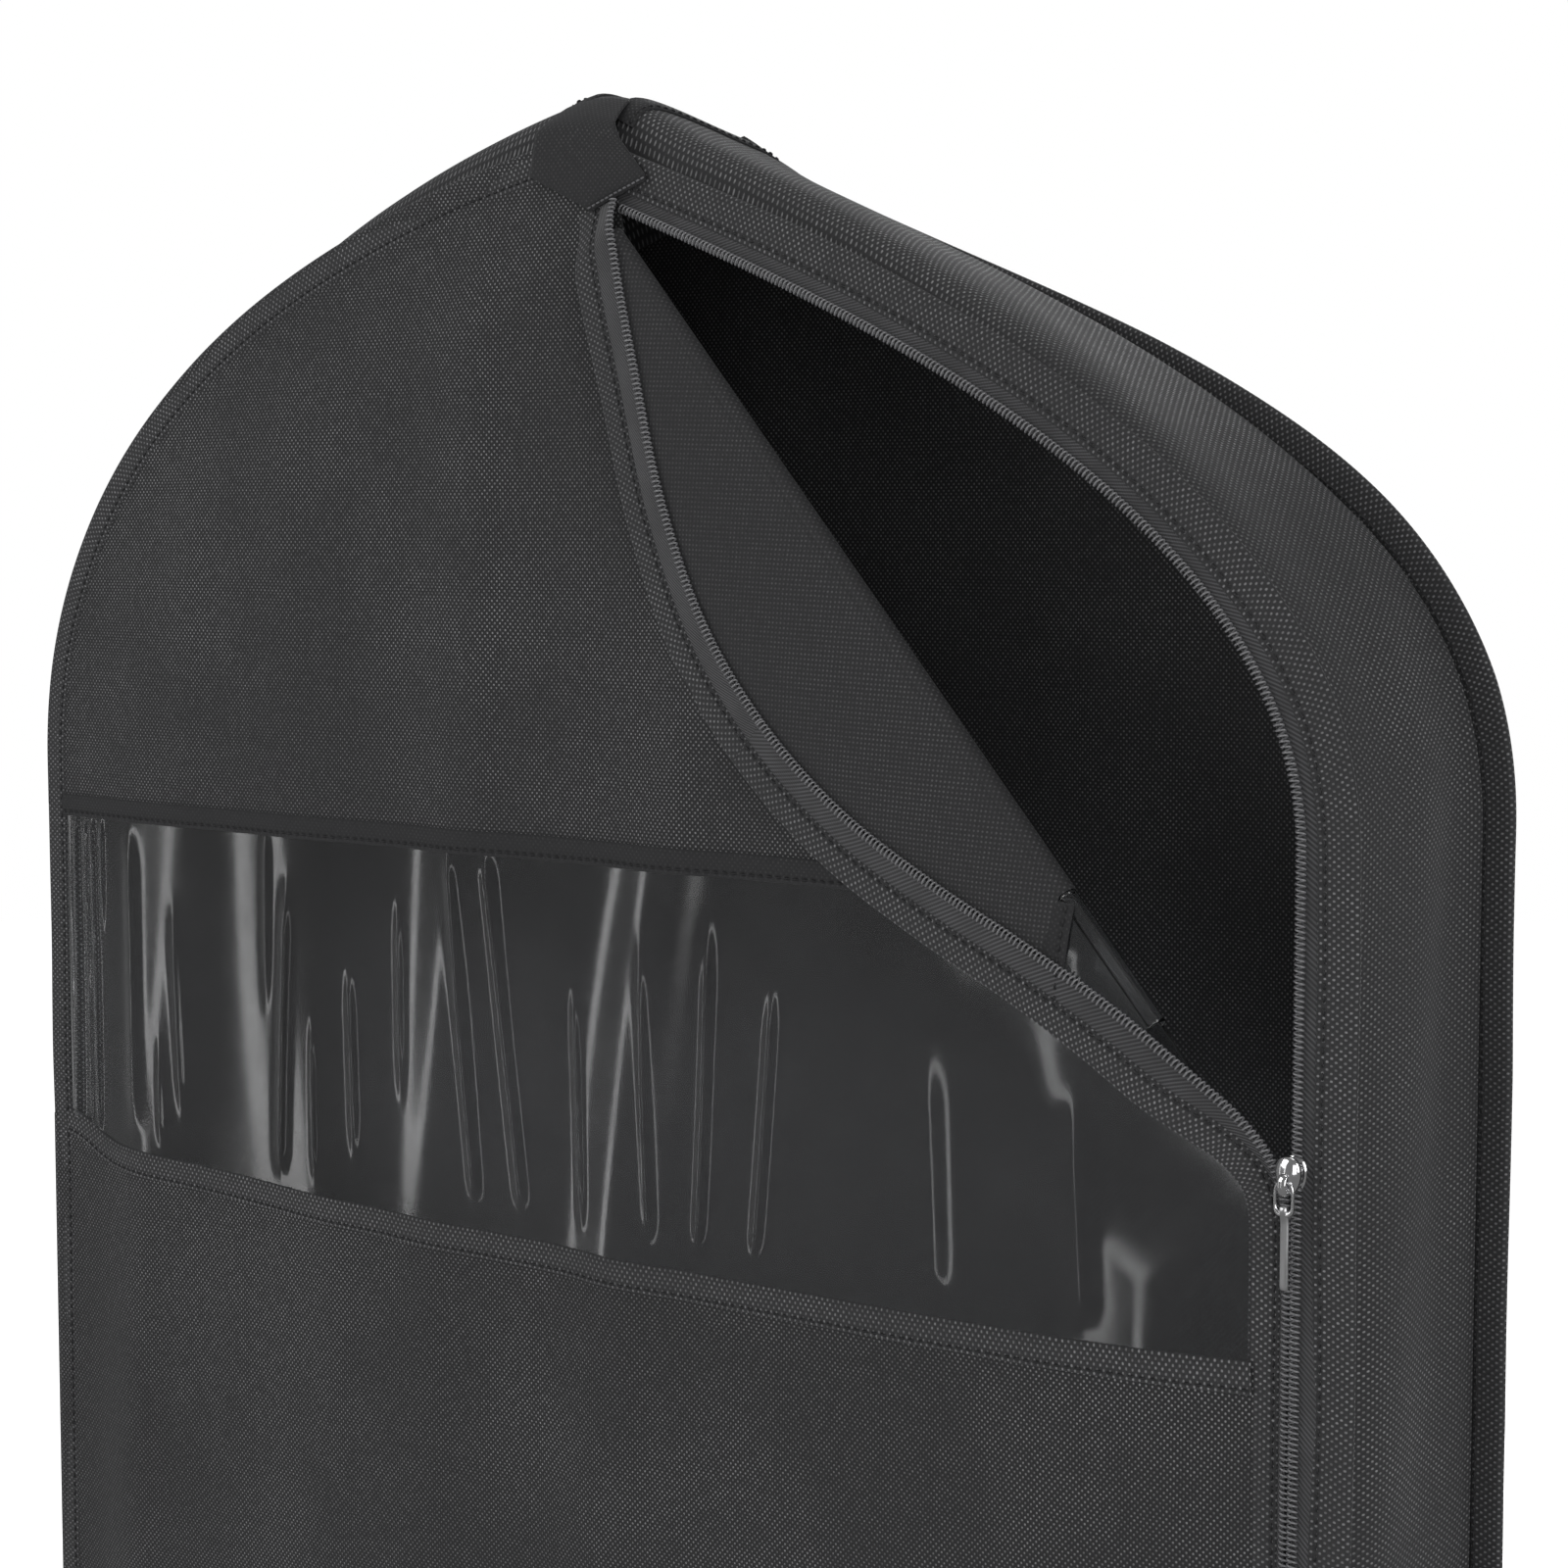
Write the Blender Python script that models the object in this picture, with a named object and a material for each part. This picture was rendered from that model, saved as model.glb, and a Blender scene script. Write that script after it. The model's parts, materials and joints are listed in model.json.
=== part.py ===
"""Gusseted garment bag with a clear front window and a zip down one shoulder and side.

Metres. X is the width, -Y the front, +Z up. The origin is the middle of the hook opening, on the
ridge of the shoulders. The zip is part open: the corner of the front that it frees is folded out
over the front along a straight diagonal, and its zip edge is turned back again on top.
"""

import math

import bmesh
import bpy
from mathutils import Vector

# Bag
HALF_WIDTH = 0.305
BOTTOM = -1.092
CORNER_RADIUS = 0.030
NECK = -0.008
SHOULDER_END = -0.240
FRONT = -0.0495
BACK = 0.0495
FABRIC = 0.001
FRONT_RIGHT = ((0.0, NECK), (0.130, -0.058), (HALF_WIDTH, -0.125), (HALF_WIDTH, SHOULDER_END))
FRONT_LEFT = ((0.0, NECK), (-0.150, -0.030), (-HALF_WIDTH, -0.100), (-HALF_WIDTH, SHOULDER_END))
BACK_RIGHT = ((0.0, NECK), (0.140, -0.075), (HALF_WIDTH, -0.105), (HALF_WIDTH, SHOULDER_END))
BACK_LEFT = ((0.0, NECK), (-0.140, -0.045), (-HALF_WIDTH, -0.110), (-HALF_WIDTH, SHOULDER_END))
SHOULDER_STEPS = 16
CORNER_STEPS = 5

# Seams: the panels reach into the folded binding, and the gusset stands just inside it
BINDING_WIDTH = 0.012
PANEL_INSET = 0.0018
GUSSET_INSET = 0.013
GUSSET_HALF_DEPTH = 0.0468
GUSSET_SPLIT = -1.053
CROWN = 0.028
CROWN_END = 0.290
CROWN_DIP_RIGHT = 0.004
CROWN_LOSS_BEHIND = 0.38
OVERLAY = 0.0013
GAP = 0.0003

# Hook opening
SLOT_HALF_WIDTH = 0.0075
SLOT_SHARE = 0.78
SLOT_HEM = 0.010
PATCH_HALF_WIDTH = 0.016

# Window
WINDOW_TOP = -0.2575
WINDOW_BOTTOM = -0.396
FILM = 0.0006
TOP_HEM = 0.009
BOTTOM_HEM = 0.010

# Zip
ZIP_INSET = 0.0205
ZIP_X = HALF_WIDTH - ZIP_INSET
ZIP_START = 0.018
ZIP_END = -1.058
TAPE_GAP = 0.0007
COIL_RADIUS = 0.0011
COIL_OFFSET = 0.0017
LEFT_TAPE_WIDTH = 0.0118
FACING_START = 0.0040
FACING_WIDTH = 0.010
FRONT_COIL = FRONT - FABRIC / 2 - GAP - COIL_RADIUS

# Slider
SLIDER_Z = -0.3346
SLIDER_WIDTH = 0.0093
SLIDER_LENGTH = 0.011
NECK_WIDTH = 0.0008
CAP_WIDTH = 0.0046
LINK_PIVOT = Vector((ZIP_X, -0.0563, SLIDER_Z - 0.0025))
LINK_HALF_WIDTH = 0.0030
LINK_LENGTH = 0.0075
LINK_WIRE = 0.0005
TAB_EYE = 0.00135
TAB_WIDTH = 0.0028
TAB_LENGTH = 0.0240
TAB_SHEET = 0.0008

# Folded corner: its fold runs from FOLD_TOP to FOLD_BOTTOM, rolled round a straight axis
FOLD_TOP = Vector((0.020, 0.0, -0.048))
FOLD_BOTTOM = Vector((0.257, 0.0, -0.316))
FOLD_AXIS_Y = -0.0543
ROLL_RADIUS = 0.0035
FLAP_REACH = 0.0735
FLAP_MIDDLE = 0.165
FLAP_HALF_LENGTH = 0.175
FLAP_CLEARANCE = 0.0045
FLAP_START = 0.016
FLAP_END = 0.322
FLAP_ZIP_START = 0.045
FLAP_ZIP_END = 0.290

ALONG = (FOLD_BOTTOM - FOLD_TOP).normalized()
OUTWARD = Vector((ALONG.z, 0.0, -ALONG.x))


# ---------------------------------------------------------------- shapes

def clear_scene():
    for thing in list(bpy.data.objects):
        bpy.data.objects.remove(thing, do_unlink=True)


def material(name, colour, roughness, metallic=0.0):
    made = bpy.data.materials.new(name)
    made.use_nodes = True
    shader = made.node_tree.nodes["Principled BSDF"]
    shader.inputs["Base Color"].default_value = (*colour, 1.0)
    shader.inputs["Roughness"].default_value = roughness
    shader.inputs["Metallic"].default_value = metallic
    return made


def add_object(name, data, look, origin=None, parent=None):
    thing = bpy.data.objects.new(name, data)
    data.materials.append(look)
    bpy.context.collection.objects.link(thing)
    if parent is not None:
        thing.parent = parent
    if origin is not None:
        thing.location = origin
    return thing


def solidify(thing, thickness):
    wall = thing.modifiers.new("Thickness", "SOLIDIFY")
    wall.thickness = thickness
    wall.offset = 0.0
    wall.use_even_offset = True
    return thing


def mesh_of(name, points, faces, smooth=True):
    mesh = bpy.data.meshes.new(name)
    mesh.from_pydata([tuple(point) for point in points], [], faces)
    mesh.update()
    if smooth:
        mesh.shade_smooth()
        mesh.set_sharp_from_angle(angle=math.radians(40))
    return mesh


def ribbon(name, rows, thickness, look, origin=None, parent=None):
    """A sheet through rows of points, given a thickness about its middle."""
    width = len(rows[0])
    base = origin if origin is not None else Vector()
    points = [point - base for row in rows for point in row]
    faces = []
    for row in range(len(rows) - 1):
        for column in range(width - 1):
            corner = row * width + column
            faces.append((corner, corner + 1, corner + width + 1, corner + width))
    mesh = mesh_of(name, points, faces)
    thing = add_object(name, mesh, look, origin, parent)
    return solidify(thing, thickness)


def panel(name, outline, y, thickness, look):
    """A flat sheet with an outline of (x, z) points, parallel to the front."""
    points = [Vector((x, y, z)) for x, z in outline]
    mesh = mesh_of(name, points, [tuple(range(len(points)))], smooth=False)
    return solidify(add_object(name, mesh, look), thickness)


def rod(name, points, radius, look, closed=False, origin=None, parent=None):
    base = origin if origin is not None else Vector()
    curve = bpy.data.curves.new(name, "CURVE")
    curve.dimensions = "3D"
    curve.bevel_depth = radius
    curve.bevel_resolution = 2
    curve.use_fill_caps = True
    spline = curve.splines.new("POLY")
    spline.points.add(len(points) - 1)
    for control, point in zip(spline.points, points):
        control.co = (*(point - base), 1.0)
    spline.use_cyclic_u = closed
    spline.use_smooth = True
    return add_object(name, curve, look, origin, parent)


def extruded(name, profile, start, end, look, origin, parent):
    """A prism: a closed profile of (x, y) points run from z = start to z = end."""
    shape = bmesh.new()
    corners = [shape.verts.new((x, y, start)) for x, y in profile]
    face = shape.faces.new(corners)
    moved = bmesh.ops.extrude_face_region(shape, geom=[face])["geom"]
    bmesh.ops.translate(
        shape,
        vec=(0.0, 0.0, end - start),
        verts=[item for item in moved if isinstance(item, bmesh.types.BMVert)],
    )
    bmesh.ops.recalc_face_normals(shape, faces=shape.faces)
    mesh = bpy.data.meshes.new(name)
    shape.to_mesh(mesh)
    shape.free()
    return add_object(name, mesh, look, origin, parent)


# ---------------------------------------------------------------- outline

def bezier(curve, t):
    weights = ((1 - t) ** 3, 3 * t * (1 - t) ** 2, 3 * t * t * (1 - t), t ** 3)
    x = sum(weight * point[0] for weight, point in zip(weights, curve))
    z = sum(weight * point[1] for weight, point in zip(weights, curve))
    return x, z


def inset_point(curve, t, distance):
    """The point at t on the shoulder curve, moved into the bag."""
    side = math.copysign(1.0, curve[-1][0])
    step = 1e-4
    before = bezier(curve, max(t - step, 0.0))
    after = bezier(curve, min(t + step, 1.0))
    dx = after[0] - before[0]
    dz = after[1] - before[1]
    length = math.hypot(dx, dz)
    x, z = bezier(curve, t)
    return x + side * dz / length * distance, z - side * dx / length * distance


def start_of(curve, distance, start_x):
    """The t at which the inset shoulder curve is start_x away from the middle."""
    low = 0.0
    high = 0.5
    for _ in range(40):
        middle = (low + high) / 2
        if abs(inset_point(curve, middle, distance)[0]) < start_x:
            low = middle
        else:
            high = middle
    return high


def shoulder(curve, distance, start_x):
    first = start_of(curve, distance, start_x)
    steps = [first + (1 - first) * step / SHOULDER_STEPS for step in range(SHOULDER_STEPS + 1)]
    return [inset_point(curve, t, distance) for t in steps]


def corner(side, distance):
    """The rounded bottom corner, from the side down to the bottom edge."""
    radius = CORNER_RADIUS - distance
    centre_x = HALF_WIDTH - CORNER_RADIUS
    points = []
    for step in range(CORNER_STEPS + 1):
        angle = math.pi / 2 * step / CORNER_STEPS
        x = side * (centre_x + radius * math.cos(angle))
        points.append((x, BOTTOM + CORNER_RADIUS - radius * math.sin(angle)))
    return points


def side_down_to(curve, distance, start_x, end_z):
    side = math.copysign(1.0, curve[-1][0])
    return shoulder(curve, distance, start_x) + [(side * (HALF_WIDTH - distance), end_z)]


def side_to_bottom(curve, distance, start_x):
    side = math.copysign(1.0, curve[-1][0])
    bottom = (side * 0.0005, BOTTOM + distance)
    return shoulder(curve, distance, start_x) + corner(side, distance) + [bottom]


# ---------------------------------------------------------------- body of the bag

def seam_binding(name, curve, y, look):
    """A strip folded over the seam flange, from the neck to the middle of the bottom."""
    section = (
        (BINDING_WIDTH, -OVERLAY),
        (0.0018, -OVERLAY),
        (0.0009, -0.0009),
        (0.0005, 0.0),
        (0.0009, 0.0009),
        (0.0018, OVERLAY),
        (BINDING_WIDTH, OVERLAY),
    )
    runs = [side_to_bottom(curve, distance, 0.004) for distance, _ in section]
    rows = []
    for station in range(len(runs[0])):
        row = []
        for run, (_, shift) in zip(runs, section):
            x, z = run[station]
            row.append(Vector((x, y + shift, z)))
        rows.append(row)
    return ribbon(name, rows, FABRIC, look)


def eased(value):
    value = min(max(value, 0.0), 1.0)
    return value * value * (3 - 2 * value)


def crown(x, fraction):
    """How far the gusset stands above its seams: most at the neck and in front, nothing at the sides."""
    along = max(0.0, 1 - (x / CROWN_END) ** 2)
    height = CROWN - CROWN_DIP_RIGHT * eased(x / 0.040)
    behind = 1 - CROWN_LOSS_BEHIND * eased((fraction + 0.8) / 1.8)
    return height * along * behind * (1 - abs(fraction) ** 10)


def gusset_point(front, back, fraction):
    """A point of the gusset between its front seam (-1) and its back seam (1)."""
    share = (fraction + 1) / 2
    x = front[0] + (back[0] - front[0]) * share
    z = front[1] + (back[1] - front[1]) * share + crown(x, fraction)
    return Vector((x, fraction * GUSSET_HALF_DEPTH, z))


def gusset_wall(name, front, back, look):
    fractions = (-1.0, -0.93, -SLOT_SHARE, -SLOT_SHARE / 2, SLOT_SHARE / 2, SLOT_SHARE, 0.93, 1.0)
    rows = []
    for front_point, back_point in zip(front, back):
        rows.append([gusset_point(front_point, back_point, part) for part in fractions])
    return ribbon(name, rows, FABRIC, look)


def bottom_gusset(look):
    path = corner(1.0, GUSSET_INSET) + corner(-1.0, GUSSET_INSET)[::-1]
    side = HALF_WIDTH - GUSSET_INSET
    path = [(side, GUSSET_SPLIT - 0.0005)] + path + [(-side, GUSSET_SPLIT - 0.0005)]
    rows = []
    for x, z in path:
        rows.append([Vector((x, y, z)) for y in (-GUSSET_HALF_DEPTH, GUSSET_HALF_DEPTH)])
    return ribbon("gusset_bottom", rows, FABRIC, look)


def fold_x(z):
    """Where the fold crosses a height."""
    return FOLD_TOP.x + ALONG.x * (z - FOLD_TOP.z) / ALONG.z


def front_panels(fabric, film):
    margin = 0.0007
    left = HALF_WIDTH - PANEL_INSET
    right = ZIP_X - TAPE_GAP - LEFT_TAPE_WIDTH - GAP
    neck = shoulder(FRONT_RIGHT, PANEL_INSET, 0.002)
    neck = [point for point in neck if point[0] < 0.015]
    upper = side_down_to(FRONT_LEFT, PANEL_INSET, 0.002, WINDOW_TOP + GAP)
    upper.append((fold_x(WINDOW_TOP) - margin, WINDOW_TOP + GAP))
    upper.append((FOLD_TOP.x - margin, FOLD_TOP.z))
    upper.append((0.0145, -0.034))
    panel("front_upper_panel", upper + neck[::-1], FRONT, FABRIC, fabric)

    window = [
        (-left, WINDOW_TOP - GAP),
        (-left, WINDOW_BOTTOM + GAP),
        (right, WINDOW_BOTTOM + GAP),
        (right, FOLD_TOP.z + ALONG.z * (right + margin - FOLD_TOP.x) / ALONG.x),
        (fold_x(WINDOW_TOP) - margin, WINDOW_TOP - GAP),
    ]
    panel("clear_window", window, FRONT, FILM, film)

    below_zip = ZIP_END - 0.008
    lower = [(-left, WINDOW_BOTTOM - GAP)]
    lower += corner(-1.0, PANEL_INSET)
    lower += corner(1.0, PANEL_INSET)[::-1]
    lower += [(left, below_zip), (right, below_zip), (right, WINDOW_BOTTOM - GAP)]
    panel("front_lower_panel", lower, FRONT, FABRIC, fabric)


def back_panel(look):
    right = side_to_bottom(BACK_RIGHT, PANEL_INSET, 0.001)
    left = side_to_bottom(BACK_LEFT, PANEL_INSET, 0.001)
    panel("back_panel", right + left[::-1], BACK, FABRIC, look)


def window_hems(look):
    seam_left = -(HALF_WIDTH - BINDING_WIDTH - 0.0005)
    facing_edge = ZIP_X - FACING_START - FACING_WIDTH
    y = FRONT - OVERLAY
    hems = (
        ("window_top_binding", WINDOW_TOP, TOP_HEM, fold_x(WINDOW_TOP) - 0.010),
        ("window_bottom_binding", WINDOW_BOTTOM, BOTTOM_HEM, facing_edge - 0.0005),
    )
    for name, middle, width, end in hems:
        outline = [
            (seam_left, middle - width / 2),
            (end, middle - width / 2),
            (end, middle + width / 2),
            (seam_left, middle + width / 2),
        ]
        panel(name, outline, y, FABRIC, look)


def gussets(look):
    sides = (("gusset_right", FRONT_RIGHT, BACK_RIGHT), ("gusset_left", FRONT_LEFT, BACK_LEFT))
    for name, front_curve, back_curve in sides:
        front = side_down_to(front_curve, GUSSET_INSET, SLOT_HALF_WIDTH, GUSSET_SPLIT + 0.0005)
        back = side_down_to(back_curve, GUSSET_INSET, SLOT_HALF_WIDTH, GUSSET_SPLIT + 0.0005)
        gusset_wall(name, front, back, look)
    bottom_gusset(look)


# ---------------------------------------------------------------- hook opening

def hook_slot_hems(look):
    """Strips folded over the two long edges of the hook opening."""
    lift = 0.0015
    section = (
        (SLOT_HEM, lift),
        (-0.0005, lift),
        (-0.0016, 0.0),
        (-0.0005, -lift),
        (SLOT_HEM, -lift),
    )
    sides = (
        ("hook_slot_hem_right", 1.0, FRONT_RIGHT, BACK_RIGHT),
        ("hook_slot_hem_left", -1.0, FRONT_LEFT, BACK_LEFT),
    )
    for name, side, front_curve, back_curve in sides:
        front = shoulder(front_curve, GUSSET_INSET, SLOT_HALF_WIDTH)[:2]
        back = shoulder(back_curve, GUSSET_INSET, SLOT_HALF_WIDTH)[:2]
        rows = []
        for fraction in (-SLOT_SHARE, -SLOT_SHARE / 2, SLOT_SHARE / 2, SLOT_SHARE):
            edge = gusset_point(front[0], back[0], fraction)
            further = gusset_point(front[1], back[1], fraction)
            slope = (further.z - edge.z) / abs(further.x - edge.x)
            row = []
            for reach, rise in section:
                z = edge.z + slope * max(reach, 0.0) + rise
                row.append(Vector((edge.x + side * reach, edge.y, z)))
            rows.append(row)
        ribbon(name, rows, 0.0008, look)


def peak_patches(look):
    """Patches over the peak of the front and of the back, each folded over the ridge."""
    front_top = ((0.0522, -0.0070), (0.0500, -0.0050), (0.0430, -0.0006), (0.0385, 0.0018))
    back_top = ((0.0522, -0.0070), (0.0500, -0.0050), (0.0440, -0.0045), (0.0385, -0.0035))
    front_tip = (
        (0.0522, -0.0360, 0.0020, 0.0070),
        (0.0522, -0.0270, -0.0170, 0.0300),
        (0.0522, -0.0220, -0.0230, 0.0280),
    )
    back_tip = (
        (0.0522, -0.0340, -0.0170, 0.0170),
        (0.0522, -0.0200, -0.0200, 0.0200),
    )
    for name, direction, tip, top in (
        ("peak_patch_front", -1.0, front_tip, front_top),
        ("peak_patch_back", 1.0, back_tip, back_top),
    ):
        rows = []
        for y, z, left, right in tip + tuple((y, z, -PATCH_HALF_WIDTH, PATCH_HALF_WIDTH) for y, z in top):
            rows.append([Vector((left, direction * y, z)), Vector((right, direction * y, z))])
        ribbon(name, rows, FABRIC, look)


# ---------------------------------------------------------------- zip

def tape(name, outer, inner, y, look, width_start=ZIP_START, end_z=ZIP_END - 0.006):
    """A strip between two insets, along the shoulder and down the side."""
    outer_run = side_down_to(FRONT_RIGHT, outer, width_start, end_z)
    inner_run = side_down_to(FRONT_RIGHT, inner, width_start, end_z)
    rows = [
        [Vector((x0, y, z0)), Vector((x1, y, z1))]
        for (x0, z0), (x1, z1) in zip(outer_run, inner_run)
    ]
    return ribbon(name, rows, FABRIC, look)


def strip_below_slider(name, start, width, y, end_z, look):
    left = ZIP_X - start - width
    right = ZIP_X - start
    top = SLIDER_Z + 0.003
    panel(name, [(left, end_z), (right, end_z), (right, top), (left, top)], y, FABRIC, look)


def closed_zip(tape_look, coil_look, facing_look, metal):
    tape("zip_tape_right", PANEL_INSET + 0.0002, ZIP_INSET - TAPE_GAP, FRONT, tape_look)
    run = side_down_to(FRONT_RIGHT, ZIP_INSET - COIL_OFFSET, ZIP_START, ZIP_END)
    rod("zip_coil_right", [Vector((x, FRONT_COIL, z)) for x, z in run], COIL_RADIUS, coil_look)

    tape_end = ZIP_END - 0.006
    strip_below_slider("zip_tape_left_lower", TAPE_GAP, LEFT_TAPE_WIDTH, FRONT, tape_end, tape_look)
    facing_y = FRONT - OVERLAY
    strip_below_slider(
        "zip_facing_lower", FACING_START, FACING_WIDTH, facing_y, ZIP_END - 0.012, facing_look
    )
    x = ZIP_X - COIL_OFFSET
    ends = [Vector((x, FRONT_COIL, SLIDER_Z + 0.004)), Vector((x, FRONT_COIL, ZIP_END))]
    rod("zip_coil_left_lower", ends, COIL_RADIUS, coil_look)

    half = 0.0034
    profile = [(-half, -0.0013), (half, -0.0013), (half, 0.0013), (-half, 0.0013)]
    centre = Vector((ZIP_X, FRONT_COIL - 0.0003, ZIP_END - 0.0020))
    extruded("zip_bottom_stop", profile, -0.0014, 0.0014, metal, centre, None)


# ---------------------------------------------------------------- folded corner

def zip_reach(s):
    """How far the closed zip's middle lies from the fold, at a distance s down the fold."""
    low = 0.0
    high = 1.0
    for _ in range(40):
        middle = (low + high) / 2
        x, z = inset_point(FRONT_RIGHT, middle, ZIP_INSET)
        if (Vector((x, 0.0, z)) - FOLD_TOP).dot(ALONG) < s:
            low = middle
        else:
            high = middle
    x, z = inset_point(FRONT_RIGHT, high, ZIP_INSET)
    return -(Vector((x, 0.0, z)) - FOLD_TOP).dot(OUTWARD)


def flap_edge(s):
    """How far the corner reaches from its fold: no further than the zip that it closes on."""
    free = FLAP_REACH * math.cos(math.pi / 2 * (s - FLAP_MIDDLE) / FLAP_HALF_LENGTH)
    if s > FLAP_MIDDLE:
        return free
    return min(free, zip_reach(s) - FLAP_CLEARANCE)


def on_fold(s, offset, y):
    point = FOLD_TOP + ALONG * s + OUTWARD * offset
    return Vector((point.x, y, point.z))


def seam_on_flap(share):
    """Where the window's top seam crosses the flap, at a share of its reach from the fold."""
    start = (WINDOW_TOP - FOLD_TOP.z) / ALONG.z
    lean = ALONG.x / -ALONG.z
    s = start
    for _ in range(30):
        s = start + lean * share * flap_edge(s)
    return s


def flap_rows(first, last, steps):
    """Rows along the fold: round the roll, then across the flat of the flap."""
    rows = []
    for step in range(7):
        angle = math.pi * step / 6
        offset = -ROLL_RADIUS * math.sin(angle)
        y = FOLD_AXIS_Y + ROLL_RADIUS * math.cos(angle)
        start = first(0.0)
        end = last(0.0)
        stations = [start + (end - start) * k / steps for k in range(steps + 1)]
        rows.append([on_fold(s, offset, y) for s in stations])
    for share in (0.25, 0.5, 0.75, 1.0):
        start = first(share)
        end = last(share)
        stations = [start + (end - start) * k / steps for k in range(steps + 1)]
        y = FOLD_AXIS_Y - ROLL_RADIUS
        rows.append([on_fold(s, share * flap_edge(s), y) for s in stations])
    return rows


def folded_corner(looks):
    origin = on_fold(0.0, 0.0, FOLD_AXIS_Y)
    hinge = bpy.data.objects.new("flap_fold_axis", None)
    bpy.context.collection.objects.link(hinge)
    hinge.location = origin
    centre = Vector()

    def moved(rows):
        return [[point - origin for point in row] for row in rows]

    cloth = flap_rows(lambda share: FLAP_START, lambda share: seam_on_flap(share) - GAP, 14)
    ribbon("front_flap", moved(cloth), FABRIC, looks["fabric"], centre, hinge)
    film = flap_rows(lambda share: seam_on_flap(share) + GAP, lambda share: FLAP_END, 3)
    ribbon("flap_window", moved(film), FILM, looks["film"], centre, hinge)

    hem_y = FOLD_AXIS_Y - ROLL_RADIUS - OVERLAY
    hem = []
    for step in range(5):
        s_seam = seam_on_flap(0.0)
        offset = 0.003 + 0.019 * step / 4
        middle = s_seam + ALONG.x / -ALONG.z * offset
        half = TOP_HEM / 2 / -ALONG.z
        hem.append([on_fold(middle - half, offset, hem_y), on_fold(middle + half, offset, hem_y)])
    ribbon("flap_window_binding", moved(hem), FABRIC, looks["hem"], centre, hinge)

    top = hem_y - OVERLAY

    def strip(name, near, far, look):
        rows = []
        steps = 14
        for step in range(steps + 1):
            s = FLAP_ZIP_START + (FLAP_ZIP_END - FLAP_ZIP_START) * step / steps
            edge = flap_edge(s)
            rows.append([on_fold(s, edge - near, top), on_fold(s, edge - far, top)])
        ribbon(name, moved(rows), FABRIC, look, centre, hinge)

    strip("zip_facing_upper", 0.0004, 0.0110, looks["hem"])
    strip("zip_tape_left_upper", 0.0114, 0.0205, looks["tape"])
    coil_y = top - FABRIC / 2 - GAP - COIL_RADIUS
    steps = 14
    path = []
    for step in range(steps + 1):
        s = FLAP_ZIP_START + (FLAP_ZIP_END - FLAP_ZIP_START) * step / steps
        path.append(on_fold(s, flap_edge(s) - 0.0195, coil_y) - origin)
    rod("zip_coil_left_upper", path, COIL_RADIUS, looks["coil"], False, centre, hinge)


# ---------------------------------------------------------------- slider

def slider(looks):
    plate_front = -0.0552
    plate_back = -0.0540
    wing_front = -0.0484
    wing_back = -0.0474
    half = SLIDER_WIDTH / 2
    wing = 0.0040
    neck = NECK_WIDTH / 2
    profile = [
        (-half, plate_front),
        (half, plate_front),
        (half, plate_back),
        (neck, plate_back),
        (neck, wing_front),
        (wing, wing_front),
        (wing, wing_back),
        (-wing, wing_back),
        (-wing, wing_front),
        (-neck, wing_front),
        (-neck, plate_back),
        (-half, plate_back),
    ]
    place = Vector((ZIP_X, 0.0, SLIDER_Z))
    length = SLIDER_LENGTH / 2
    body = extruded("slider_body", profile, -length, length, looks["metal"], place, None)

    arch = (
        (-0.0050, -0.0560),
        (-0.0047, -0.0572),
        (-0.0036, -0.0577),
        (0.0000, -0.0578),
        (0.0036, -0.0577),
        (0.0047, -0.0572),
        (0.0050, -0.0560),
    )
    rows = []
    for z, y in arch:
        rows.append([Vector((x, y, z)) for x in (-CAP_WIDTH / 2, CAP_WIDTH / 2)])
    ribbon("slider_cap", rows, 0.0008, looks["metal"], Vector(), body)

    pivot = bpy.data.objects.new("link_axis", None)
    bpy.context.collection.objects.link(pivot)
    pivot.parent = body
    pivot.location = LINK_PIVOT - place
    corner_cut = 0.0008
    half = LINK_HALF_WIDTH
    loop = (
        (-half + corner_cut, 0.0),
        (half - corner_cut, 0.0),
        (half, -corner_cut),
        (half, -LINK_LENGTH + corner_cut),
        (half - corner_cut, -LINK_LENGTH),
        (-half + corner_cut, -LINK_LENGTH),
        (-half, -LINK_LENGTH + corner_cut),
        (-half, -corner_cut),
    )
    wire = [Vector((x, 0.0, z)) for x, z in loop]
    rod("pull_link", wire, LINK_WIRE, looks["metal"], True, Vector(), pivot)

    eye = bpy.data.objects.new("tab_axis", None)
    bpy.context.collection.objects.link(eye)
    eye.parent = pivot
    eye.location = Vector((0.0, 0.0, -LINK_LENGTH))
    rows = []
    for step in range(9):
        angle = math.radians(-60 + 240 * step / 8)
        y = TAB_EYE * math.cos(angle)
        z = TAB_EYE * math.sin(angle)
        rows.append([Vector((x, y, z)) for x in (-TAB_WIDTH / 2, TAB_WIDTH / 2)])
    for z in (-0.012, -TAB_LENGTH):
        rows.append([Vector((x, -TAB_EYE, z)) for x in (-TAB_WIDTH / 2, TAB_WIDTH / 2)])
    ribbon("pull_tab", rows, TAB_SHEET, looks["satin"], Vector(), eye)


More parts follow.
